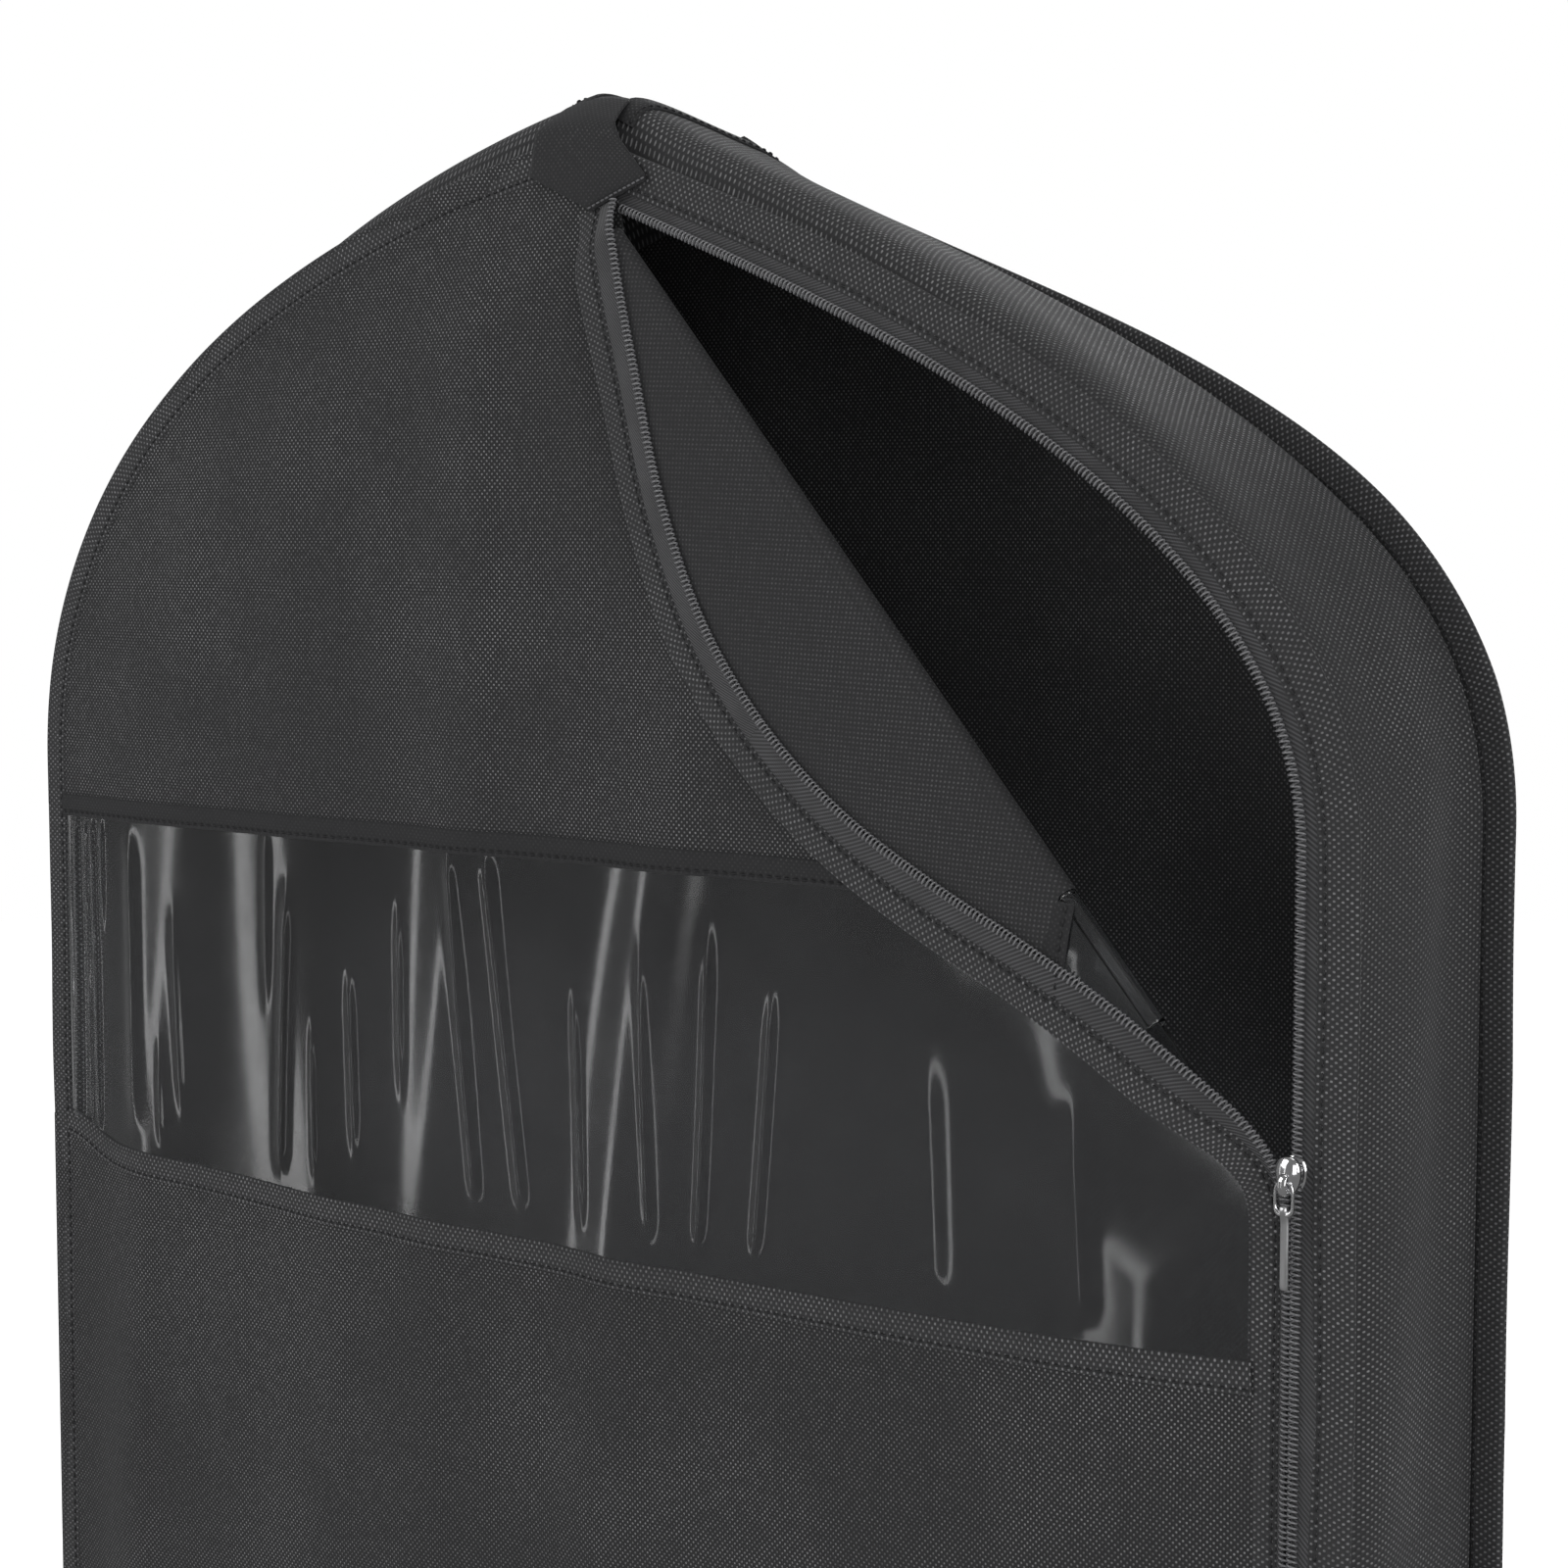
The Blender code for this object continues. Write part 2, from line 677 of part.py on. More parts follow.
def build():
    clear_scene()
    looks = {
        "fabric": material("nonwoven", (0.030, 0.030, 0.032), 0.75),
        "hem": material("hem", (0.036, 0.036, 0.038), 0.70),
        "film": material("film", (0.80, 0.82, 0.84), 0.10),
        "tape": material("zip_tape", (0.050, 0.050, 0.054), 0.85),
        "coil": material("zip_coil", (0.012, 0.012, 0.013), 0.25),
        "metal": material("chrome", (0.78, 0.78, 0.80), 0.12, 1.0),
        "satin": material("satin_metal", (0.55, 0.55, 0.56), 0.35, 1.0),
    }
    front_panels(looks["fabric"], looks["film"])
    back_panel(looks["fabric"])
    gussets(looks["fabric"])
    seam_binding("front_seam_binding_right", FRONT_RIGHT, FRONT, looks["hem"])
    seam_binding("front_seam_binding_left", FRONT_LEFT, FRONT, looks["hem"])
    seam_binding("back_seam_binding_right", BACK_RIGHT, BACK, looks["hem"])
    seam_binding("back_seam_binding_left", BACK_LEFT, BACK, looks["hem"])
    window_hems(looks["hem"])
    hook_slot_hems(looks["hem"])
    peak_patches(looks["hem"])
    closed_zip(looks["tape"], looks["coil"], looks["hem"], looks["metal"])
    folded_corner(looks)
    slider(looks)


build()
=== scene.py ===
import json
import math

import bpy
import numpy as np
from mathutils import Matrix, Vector


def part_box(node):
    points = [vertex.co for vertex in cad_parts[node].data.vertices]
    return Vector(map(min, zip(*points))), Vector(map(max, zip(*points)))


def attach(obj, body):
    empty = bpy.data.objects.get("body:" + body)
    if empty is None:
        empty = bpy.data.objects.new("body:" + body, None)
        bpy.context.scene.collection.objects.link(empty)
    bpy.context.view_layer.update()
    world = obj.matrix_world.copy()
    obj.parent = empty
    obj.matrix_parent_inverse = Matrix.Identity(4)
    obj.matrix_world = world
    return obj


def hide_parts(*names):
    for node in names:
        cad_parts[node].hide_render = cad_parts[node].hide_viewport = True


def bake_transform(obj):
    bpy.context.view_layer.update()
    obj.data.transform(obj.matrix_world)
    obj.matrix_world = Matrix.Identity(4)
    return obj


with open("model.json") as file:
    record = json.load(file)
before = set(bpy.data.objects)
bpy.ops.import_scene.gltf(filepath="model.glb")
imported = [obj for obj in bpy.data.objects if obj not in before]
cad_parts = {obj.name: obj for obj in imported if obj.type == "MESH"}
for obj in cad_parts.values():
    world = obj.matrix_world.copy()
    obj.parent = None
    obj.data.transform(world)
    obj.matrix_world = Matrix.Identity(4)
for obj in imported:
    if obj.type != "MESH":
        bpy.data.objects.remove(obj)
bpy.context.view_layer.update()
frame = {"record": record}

# ---------------------------------------------------------------- sizes, from the frame

MM = 0.001


def middle(node):
    low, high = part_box(node)
    return (Vector(low) + Vector(high)) / 2


HALF_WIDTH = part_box("back_seam_binding_right")[1][0]
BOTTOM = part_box("back_seam_binding_right")[0][2]
FRONT_Y = middle("front_upper_panel").y - 0.5 * MM
BACK_Y = middle("back_panel").y + 0.5 * MM
WINDOW_TOP = middle("window_top_binding").z
WINDOW_BOTTOM = middle("window_bottom_binding").z
ZIP_X = middle("slider_body").x
SLIDER_Z = middle("slider_body").z
ZIP_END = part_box("zip_coil_right")[0][2]
JOINTS = {joint["name"]: joint for joint in frame["record"]["behaviour"]["joints"]}
FOLD_TOP = Vector(JOINTS["flap_fold"]["pos_m"])
ALONG = -Vector(JOINTS["flap_fold"]["axis"]).normalized()
OUTWARD = Vector((ALONG.z, 0.0, -ALONG.x))
FOLD_Y = FOLD_TOP.y
LINK_PIVOT = Vector(JOINTS["link_swing"]["pos_m"])
TAB_PIVOT = Vector(JOINTS["tab_swing"]["pos_m"])

# Shoulder curves, from the neck to the side, as in the model's design
NECK = -8 * MM
SHOULDER_END = -0.240
CORNER_RADIUS = 0.030
FRONT_RIGHT = ((0.0, NECK), (0.130, -0.058), (HALF_WIDTH, -0.125), (HALF_WIDTH, SHOULDER_END))
FRONT_LEFT = ((0.0, NECK), (-0.150, -0.030), (-HALF_WIDTH, -0.100), (-HALF_WIDTH, SHOULDER_END))
BACK_RIGHT = ((0.0, NECK), (0.140, -0.075), (HALF_WIDTH, -0.105), (HALF_WIDTH, SHOULDER_END))
BACK_LEFT = ((0.0, NECK), (-0.140, -0.045), (-HALF_WIDTH, -0.110), (-HALF_WIDTH, SHOULDER_END))

SEAM = 12 * MM
ZIP_INSET = HALF_WIDTH - ZIP_X
ROLL_RADIUS = 3.5 * MM
GUSSET_HALF = 47.5 * MM
CROWN = 28 * MM
CROWN_END = 0.290
CROWN_DIP_RIGHT = 4 * MM
CROWN_LOSS_BEHIND = 0.38
SLOT_HALF_WIDTH = 6 * MM
CLOTH = 0.5 * MM
FILM = 0.25 * MM
PANEL_INSET = 1.6 * MM
PANEL_END = ZIP_X - 11 * MM
GUSSET_INSET = 11.2 * MM


# ---------------------------------------------------------------- curves

def bezier(curve, t):
    """Points of a cubic curve, one row for each t."""
    t = np.asarray(t)[:, None]
    a, b, c, d = np.array(curve)
    return (1 - t) ** 3 * a + 3 * t * (1 - t) ** 2 * b + 3 * t * t * (1 - t) * c + t ** 3 * d


def lengths(points):
    steps = np.linalg.norm(np.diff(points, axis=0), axis=1)
    return np.concatenate([[0.0], np.cumsum(steps)])


def sampled(values, places, at):
    """Rows of values that are known at some places along a line, at other places along it."""
    return np.stack([np.interp(at, places, values[:, k]) for k in range(values.shape[1])], axis=1)


def respaced(points, spacing):
    """The same line with points an even distance apart."""
    along = lengths(points)
    count = max(2, int(math.ceil(along[-1] / spacing)) + 1)
    return sampled(points, along, np.linspace(0, along[-1], count))


def with_count(values, count):
    """The same rows of values, drawn out or thinned to a set count."""
    return sampled(values, np.linspace(0, 1, len(values)), np.linspace(0, 1, count))


def unit(vectors):
    return vectors / np.linalg.norm(vectors, axis=1)[:, None]


def heading(line):
    """Unit vectors along a line, one for each point."""
    return unit(np.gradient(line, axis=0))


def squarer(wave, power):
    """A cosine or sine with its swing flattened, which squares a round outline."""
    return np.sign(wave) * np.abs(wave) ** power


def outline(curve, end_z=None):
    """The outer edge in X and Z, from the neck down one side, and on to the middle of the bottom."""
    side = math.copysign(1.0, curve[-1][0])
    parts = [bezier(curve, np.linspace(0, 1, 200))]
    if end_z is not None:
        parts.append(np.array([[side * HALF_WIDTH, end_z]]))
        return np.concatenate(parts)
    angle = np.linspace(0, math.pi / 2, 30)
    x = side * (HALF_WIDTH - CORNER_RADIUS + CORNER_RADIUS * np.cos(angle))
    z = BOTTOM + CORNER_RADIUS - CORNER_RADIUS * np.sin(angle)
    parts.append(np.stack([x, z], axis=1))
    parts.append(np.array([[0.0, BOTTOM]]))
    return np.concatenate(parts)


def inward(line):
    """Unit vectors across a line in X and Z, into the bag, for a line that starts at the neck."""
    step = heading(line)
    side = np.sign(line[len(line) // 2, 0])
    return side * np.stack([step[:, 1], -step[:, 0]], axis=1)


def inset(curve, distance, end_z=None, spacing=3 * MM, start_x=0.0):
    """The outer edge moved into the bag, evenly spaced, from start_x to the bottom's middle."""
    line = respaced(outline(curve, end_z), 1.5 * MM)
    line = line + inward(line) * distance
    side = np.sign(line[len(line) // 2, 0])
    from_neck = np.where(line[:, 1] > SHOULDER_END, start_x, 0.0)
    line = line[line[:, 0] * side >= from_neck]
    return respaced(line, spacing)


def smooth(value):
    value = np.clip(value, 0, 1)
    return value * value * (3 - 2 * value)


def through(knots, at):
    """A smooth curve of values through (place, value) knots."""
    knots = np.array(knots)
    x, y = knots[:, 0], knots[:, 1]
    slope = np.gradient(y, x)
    at = np.clip(at, x[0], x[-1])
    k = np.clip(np.searchsorted(x, at, side="right") - 1, 0, len(x) - 2)
    width = x[k + 1] - x[k]
    t = (at - x[k]) / width
    first = (2 * t ** 3 - 3 * t ** 2 + 1) * y[k] + (t ** 3 - 2 * t ** 2 + t) * width * slope[k]
    return first + (-2 * t ** 3 + 3 * t ** 2) * y[k + 1] + (t ** 3 - t ** 2) * width * slope[k + 1]


def distance_to(line, points):
    """The distance in X and Z from each point to the nearest point of a line."""
    best = np.full(len(points), np.inf)
    for start in range(0, len(line), 64):
        part = line[start:start + 64]
        apart = np.linalg.norm(points[:, None, :] - part[None, :, :], axis=2)
        best = np.minimum(best, apart.min(axis=1))
    return best


# ---------------------------------------------------------------- materials

def nodes_of(name):
    look = bpy.data.materials.new(name)
    look.use_nodes = True
    tree = look.node_tree
    return look, tree, tree.nodes["Principled BSDF"]


def math_node(tree, operation, first, second=None, third=None):
    node = tree.nodes.new("ShaderNodeMath")
    node.operation = operation
    for socket, value in zip(node.inputs, (first, second, third)):
        if value is None:
            continue
        if isinstance(value, (int, float)):
            socket.default_value = value
        else:
            tree.links.new(value, socket)
    return node.outputs[0]


def noise_node(tree, vector, scale, detail=2.0, roughness=0.5):
    node = tree.nodes.new("ShaderNodeTexNoise")
    set_sockets(node, {"Scale": scale, "Detail": detail, "Roughness": roughness})
    tree.links.new(vector, node.inputs["Vector"])
    return node.outputs["Fac"]


def mix_colours(tree, share, first, second):
    node = tree.nodes.new("ShaderNodeMix")
    node.data_type = "RGBA"
    tree.links.new(share, node.inputs["Factor"])
    for socket, value in ((node.inputs[6], first), (node.inputs[7], second)):
        if isinstance(value, tuple):
            socket.default_value = (*value, 1.0)
        else:
            tree.links.new(value, socket)
    return node.outputs[2]


def spread(tree, value, low, high, out_low=0.0, out_high=1.0):
    node = tree.nodes.new("ShaderNodeMapRange")
    node.interpolation_type = "SMOOTHSTEP"
    tree.links.new(value, node.inputs["Value"])
    for socket, number in zip(list(node.inputs)[1:5], (low, high, out_low, out_high)):
        socket.default_value = number
    return node.outputs["Result"]


def surface_places(tree):
    """Distances along and across the cloth in metres, and the point in space."""
    places = tree.nodes.new("ShaderNodeTexCoord")
    split = tree.nodes.new("ShaderNodeSeparateXYZ")
    tree.links.new(places.outputs["UV"], split.inputs[0])
    return split.outputs[0], split.outputs[1], places.outputs["Object"]


def shade(colour, share):
    return tuple(part * share for part in colour)


def drive(tree, shader, colour, roughness):
    """Feed a shader's colour and roughness from nodes."""
    tree.links.new(colour, shader.inputs["Base Color"])
    tree.links.new(roughness, shader.inputs["Roughness"])


def set_sockets(node, values):
    for socket, value in values.items():
        node.inputs[socket].default_value = value


def add_bump(tree, shader, height, strength, distance):
    bump = tree.nodes.new("ShaderNodeBump")
    set_sockets(bump, {"Strength": strength, "Distance": distance})
    tree.links.new(height, bump.inputs["Height"])
    tree.links.new(bump.outputs[0], shader.inputs["Normal"])


def nonwoven(name, base, dot, across=2.2 * MM, down=2.3 * MM, strength=0.5, fullness=(0.5, 1.0)):
    """Thermally bonded non-woven cloth: staggered pale dots on a dark felted ground."""
    look, tree, shader = nodes_of(name)
    u, v, space = surface_places(tree)
    wobble = noise_node(tree, space, 70, 1.0)
    shift = math_node(tree, "MULTIPLY_ADD", wobble, 0.5 * MM, -0.25 * MM)
    u = math_node(tree, "MULTIPLY", math_node(tree, "ADD", u, shift), 2 * math.pi / across)
    v = math_node(tree, "MULTIPLY", math_node(tree, "SUBTRACT", v, shift), 2 * math.pi / down)
    lattice = math_node(tree, "MULTIPLY", math_node(tree, "COSINE", u), math_node(tree, "COSINE", v))
    fibre = noise_node(tree, space, 1500, 3.0, 0.65)
    lattice = math_node(tree, "MULTIPLY_ADD", fibre, 0.5, math_node(tree, "SUBTRACT", lattice, 0.25))
    dots = spread(tree, lattice, 0.30, 0.85)
    patchy = spread(tree, noise_node(tree, space, 9, 3.0, 0.6), 0.35, 0.65, *fullness)
    uneven = spread(tree, noise_node(tree, space, 420, 1.0), 0.25, 0.75, 0.45, 1.15)
    dots = math_node(tree, "MULTIPLY", dots, math_node(tree, "MULTIPLY", patchy, uneven))
    ground = mix_colours(tree, fibre, shade(base, 0.6), shade(base, 1.4))
    roughness = spread(tree, dots, 0.0, 1.0, 0.82, 0.45)
    drive(tree, shader, mix_colours(tree, dots, ground, dot), roughness)
    set_sockets(shader, {
        "Specular IOR Level": 0.3, "Sheen Weight": 0.06, "Sheen Roughness": 0.5,
        "Sheen Tint": (0.8, 0.81, 0.84, 1.0),
    })
    add_bump(tree, shader, lattice, strength, 0.2 * MM)
    return look


def twill(name, base, line, pitch=0.95 * MM):
    """Woven zip tape: fine slanting ribs."""
    look, tree, shader = nodes_of(name)
    u, v, space = surface_places(tree)
    slant = math_node(tree, "MULTIPLY_ADD", u, 0.55, v)
    wave = math_node(tree, "SINE", math_node(tree, "MULTIPLY", slant, 2 * math.pi / pitch))
    weft = math_node(tree, "SINE", math_node(tree, "MULTIPLY", u, 2 * math.pi / (0.6 * MM)))
    height = math_node(tree, "MULTIPLY_ADD", weft, 0.3, wave)
    ribs = spread(tree, height, -0.6, 1.1)
    patchy = spread(tree, noise_node(tree, space, 60, 2.0), 0.3, 0.7, 0.55, 1.0)
    ribs = math_node(tree, "MULTIPLY", ribs, patchy)
    roughness = spread(tree, ribs, 0.0, 1.0, 0.85, 0.62)
    drive(tree, shader, mix_colours(tree, ribs, base, line), roughness)
    set_sockets(shader, {"Specular IOR Level": 0.3, "Sheen Weight": 0.2})
    add_bump(tree, shader, height, 0.6, 0.15 * MM)
    return look


def thread(name, base):
    look, tree, shader = nodes_of(name)
    _, _, space = surface_places(tree)
    strand = noise_node(tree, space, 1800, 2.0)
    colour = mix_colours(tree, strand, shade(base, 0.5), shade(base, 1.6))
    drive(tree, shader, colour, spread(tree, strand, 0.3, 0.7, 0.45, 0.7))
    return look


def nylon(name):
    """Dark glossy monofilament of the zip coils."""
    look, tree, shader = nodes_of(name)
    _, _, space = surface_places(tree)
    dust = noise_node(tree, space, 500, 2.0)
    colour = mix_colours(tree, dust, (0.085, 0.085, 0.090), (0.160, 0.160, 0.166))
    drive(tree, shader, colour, spread(tree, dust, 0.3, 0.7, 0.20, 0.34))
    set_sockets(shader, {"Specular IOR Level": 0.8, "Coat Weight": 0.4, "Coat Roughness": 0.12})
    return look


def plated(name, base, rough_low, rough_high, brushed=False):
    look, tree, shader = nodes_of(name)
    _, _, space = surface_places(tree)
    stretch = tree.nodes.new("ShaderNodeMapping")
    stretch.inputs["Scale"].default_value = (1.0, 1.0, 0.06 if brushed else 1.0)
    tree.links.new(space, stretch.inputs["Vector"])
    wear = noise_node(tree, stretch.outputs[0], 1400 if brushed else 420, 3.0)
    colour = mix_colours(tree, wear, shade(base, 0.82), base)
    drive(tree, shader, colour, spread(tree, wear, 0.35, 0.7, rough_low, rough_high))
    shader.inputs["Metallic"].default_value = 1.0
    return look


def clear_film(name):
    """Thin clear plastic: it lets lamps through, mirrors them softly and is faintly hazy."""
    look, tree, shader = nodes_of(name)
    _, _, space = surface_places(tree)
    haze = noise_node(tree, space, 26, 3.0, 0.6)
    colour = mix_colours(tree, haze, (0.93, 0.95, 0.97), (0.99, 0.99, 1.0))
    drive(tree, shader, colour, spread(tree, haze, 0.35, 0.7, 0.07, 0.10))
    set_sockets(shader, {
        "Transmission Weight": 1.0, "IOR": 1.5, "Specular IOR Level": 0.25,
        "Coat Weight": 0.12, "Coat Roughness": 0.22,
    })
    passing = tree.nodes.new("ShaderNodeBsdfTransparent")
    passing.inputs[0].default_value = (0.93, 0.94, 0.95, 1.0)
    rays = tree.nodes.new("ShaderNodeLightPath")
    blend = tree.nodes.new("ShaderNodeMixShader")
    tree.links.new(rays.outputs["Is Shadow Ray"], blend.inputs[0])
    tree.links.new(shader.outputs[0], blend.inputs[1])
    tree.links.new(passing.outputs[0], blend.inputs[2])
    tree.links.new(blend.outputs[0], tree.nodes["Material Output"].inputs["Surface"])
    return look


LOOKS = {
    "nonwoven": nonwoven("nonwoven", (0.0140, 0.0140, 0.0148), (0.170, 0.170, 0.174)),
    "inner": nonwoven(
        "nonwoven_inner", (0.0175, 0.0175, 0.0185), (0.060, 0.060, 0.062), strength=0.3,
    ),
    "gusset": nonwoven(
        "nonwoven_gusset", (0.0180, 0.0180, 0.0190), (0.180, 0.180, 0.184),
        across=2.25 * MM, down=3.5 * MM,
    ),
    "hem": nonwoven(
        "hem", (0.0210, 0.0210, 0.0220), (0.155, 0.155, 0.160),
        across=2.3 * MM, down=3.0 * MM, fullness=(0.65, 1.0),
    ),
    "plain_hem": nonwoven(
        "plain_hem", (0.0150, 0.0150, 0.0160), (0.026, 0.026, 0.027), strength=0.2,
    ),
    "tape": twill("zip_tape", (0.018, 0.018, 0.019), (0.060, 0.060, 0.064)),
    "thread": thread("thread", (0.008, 0.008, 0.009)),
    "bright_thread": thread("bright_thread", (0.10, 0.10, 0.105)),
    "coil": nylon("zip_coil"),
    "chrome": plated("chrome", (0.86, 0.86, 0.87), 0.05, 0.14),
    "satin": plated("satin_plate", (0.74, 0.74, 0.75), 0.28, 0.42, brushed=True),
    "film": clear_film("film"),
}


# ---------------------------------------------------------------- mesh building

def add_piece(name, points, faces, uvs, look):
    """A smooth skin, with its places on the flat cloth where it has any."""
    mesh = bpy.data.meshes.new(name)
    mesh.from_pydata(points.tolist(), [], faces)
    mesh.update()
    if uvs is not None:
        layer = mesh.uv_layers.new(name="flat")
        corners = np.empty(len(mesh.loops), np.int32)
        mesh.loops.foreach_get("vertex_index", corners)
        layer.data.foreach_set("uv", uvs[corners].astype(np.float32).ravel())
    mesh.polygons.foreach_set("use_smooth", np.full(len(mesh.polygons), True))
    piece = bpy.data.objects.new(name, mesh)
    bpy.context.collection.objects.link(piece)
    mesh.materials.append(LOOKS[look])
    return piece


def grid_faces(rows, columns, closed=False):
    first = np.arange(rows - 1)[:, None] * columns
    across = np.arange(columns if closed else columns - 1)[None, :]
    following = (across + 1) % columns
    a, b = first + across, first + following
    return np.stack([a, b, b + columns, a + columns], axis=-1).reshape(-1, 4)


def flat_grid(along, across):
    """Places on the flat, one for each pair of distances along and across."""
    return np.stack(np.meshgrid(along, across, indexing="ij"), axis=-1)


def add_grid(name, points, uvs, look, flip=False):
    """A skin over a grid of points."""
    faces = grid_faces(*points.shape[:2])
    if flip:
        faces = faces[:, ::-1]
    flat = uvs.reshape(-1, 2)
    return add_piece(name, points.reshape(-1, 3), faces.tolist(), flat, look)


def sheet_piece(name, points, uvs, look, thickness=CLOTH, flip=False):
    """A cloth from a grid of points, with a thickness about its middle."""
    piece = add_grid(name, points, uvs, look, flip)
    wall = piece.modifiers.new("Thickness", "SOLIDIFY")
    wall.thickness = thickness
    wall.offset = 0.0
    return piece


def swept(name, line, across, out, section, look):
    """A section of (across, out) points run along a line in space."""
    points = np.stack([line + across * a + out * o for a, o in section], axis=1)
    return add_grid(name, points, flat_grid(lengths(line), lengths(np.array(section))), look)


STITCH_STATIONS = (
    # place along the stitch, thickness, height above the cloth in mm
    (-0.5, 0.25, -0.15), (-0.3, 1.0, 0.22), (0.0, 1.0, 0.30), (0.3, 1.0, 0.22), (0.5, 0.25, -0.15),
)
STITCH_RING = np.array([[-1.0, 0.0], [0.0, 0.9], [1.0, 0.0], [0.0, -0.9]])


def stitches(name, line, out, look="thread", length=2.6 * MM, gap=1.2 * MM, width=0.42 * MM):
    """A row of sewn stitches that lie in the cloth along a line."""
    along = lengths(line)
    count = int(along[-1] / (length + gap))
    middle_at = (np.arange(count) + 0.5) * (along[-1] / count)
    side = sampled(np.cross(heading(line), out), along, middle_at)
    up = sampled(out, along, middle_at)
    rings = []
    for place, size, lift in STITCH_STATIONS:
        centre = sampled(line, along, middle_at + place * length) + up * lift * MM
        for a, b in STITCH_RING:
            rings.append(centre + side * a * size * width + up * b * size * width)
    points = np.stack(rings, axis=1)
    one = grid_faces(len(STITCH_STATIONS), len(STITCH_RING), closed=True)
    faces = (one[None, :, :] + np.arange(count)[:, None, None] * points.shape[1]).reshape(-1, 4)
    uvs = np.zeros((count * points.shape[1], 2))
    return add_piece(name, points.reshape(-1, 3), faces.tolist(), uvs, look)


COIL_SIDE = 1.45 * MM
COIL_HEIGHT = 0.95 * MM
COIL_PITCH = 1.7 * MM
COIL_WIRE = 0.33 * MM


def coil(name, line, out):
    """A nylon monofilament wound along a line."""
    along = lengths(line)
    turns = along[-1] / COIL_PITCH
    per_turn, sides = 12, 6
    phase = np.linspace(0, turns * 2 * math.pi, int(turns * per_turn))
    place = phase / (2 * math.pi) * COIL_PITCH
    side = sampled(np.cross(heading(line), out), along, place)
    up = sampled(out, along, place)
    centre = sampled(line, along, place) + side * (COIL_SIDE * squarer(np.cos(phase), 0.8))[:, None]
    centre = centre + up * (COIL_HEIGHT * np.sin(phase))[:, None]
    run = heading(centre)
    radial = side * np.cos(phase)[:, None] + up * np.sin(phase)[:, None]
    second = unit(np.cross(run, radial))
    first = np.cross(second, run)
    rings = []
    for angle in 2 * math.pi * np.arange(sides) / sides:
        rings.append(centre + (first * math.cos(angle) + second * math.sin(angle)) * COIL_WIRE)
    points = np.stack(rings, axis=1).reshape(-1, 3)
    faces = grid_faces(len(centre), sides, closed=True).tolist()
    return add_piece(name, points, faces, np.zeros((len(points), 2)), "coil")


def in_space(line, y):
    """Points of X and Z placed at a depth, which may be one number for all."""
    depth = np.broadcast_to(np.asarray(y, float), (len(line),))
    return np.stack([line[:, 0], depth, line[:, 1]], axis=1)


def facing(count, direction=-1.0):
    out = np.zeros((count, 3))
    out[:, 1] = direction
    return out


# ---------------------------------------------------------------- the fold and the front's relief

# The zip's left coil, open: how far it lies from the fold at distances down the fold
OPEN_COIL = (
    (-0.013, -0.0088),
    (0.012, 0.0050),
    (0.0436, 0.0200),
    (0.085, 0.0400),
    (0.125, 0.0525),
    (0.165, 0.0550),
    (0.208, 0.0485),
    (0.250, 0.0335),
    (0.2845, 0.0185),
    (0.320, 0.0055),
    (0.355, -0.0040),
    (0.3875, -0.0095),
)
EDGE_WIDTH = 20.5 * MM
FOLD_END = (WINDOW_TOP - FOLD_TOP.z) / ALONG.z


def on_fold(s, offset, y):
    s, offset, y = np.broadcast_arrays(np.asarray(s, float), offset, y)
    x = FOLD_TOP.x + ALONG.x * s + OUTWARD.x * offset
    z = FOLD_TOP.z + ALONG.z * s + OUTWARD.z * offset
    return np.stack([x, y, z], axis=-1)


def open_coil(s):
    return through(OPEN_COIL, s)


def flap_reach(s):
    """How far the folded corner reaches from its fold, to the edge where it turns back."""
    return open_coil(s) + EDGE_WIDTH - 0.6 * MM


def flap_y(share, s):
    """The depth of the folded corner, softly rounded between its fold and its free edge."""
    middle_part = smooth((s + 0.01) / 0.08) * smooth((0.36 - s) / 0.10)
    swell = 3.2 * MM * 4 * share * (1 - share) * middle_part
    return FOLD_Y - ROLL_RADIUS - swell + 1.2 * MM * share ** 2


LEFT_SEAM = inset(FRONT_LEFT, SEAM)
RIGHT_SEAM = inset(FRONT_RIGHT, SEAM)
ZIP_SEAM = inset(FRONT_RIGHT, ZIP_INSET + 4 * MM)
FOLD_LINE = on_fold(np.linspace(-0.01, 0.40, 140), 0.0, 0.0)[:, [0, 2]]
FOLDS = (
    # middle X, width, height, lean of X with Z
    (-0.215, 0.022, 2.6 * MM, 0.10),
    (-0.145, 0.030, 2.2 * MM, -0.05),
    (-0.060, 0.018, 3.0 * MM, 0.06),
    (0.000, 0.026, -2.2 * MM, 0.10),
    (0.055, 0.020, 3.2 * MM, 0.16),
    (0.130, 0.028, 2.0 * MM, -0.08),
    (0.215, 0.024, 2.4 * MM, 0.05),
)


def front_relief(x, z):
    """How far the front stands out from its flat plane, from the clothes behind and soft folds."""
    shape = x.shape
    points = np.stack([x.ravel(), z.ravel()], axis=1)
    seams = np.concatenate([LEFT_SEAM, RIGHT_SEAM])
    from_seam = distance_to(seams, points)
    from_fold = distance_to(FOLD_LINE, points)
    from_zip = distance_to(ZIP_SEAM, points)
    room = smooth(np.minimum(np.minimum(from_seam / 0.055, from_fold / 0.06), from_zip / 0.05))
    x, z = points[:, 0], points[:, 1]
    swell = 5.0 * MM + 1.5 * MM * np.sin(z * 9.0 + 1.0)
    waves = np.zeros(len(points))
    for centre, width, height, lean in FOLDS:
        centre_at = centre + lean * (z + 0.2) + 0.006 * np.sin(z * 11 + centre * 40)
        strength = 0.75 + 0.35 * np.sin(z * 7.3 + centre * 60)
        waves += height * strength * np.exp(-((x - centre_at) / width) ** 2)
    return (room * (swell + waves)).reshape(shape)


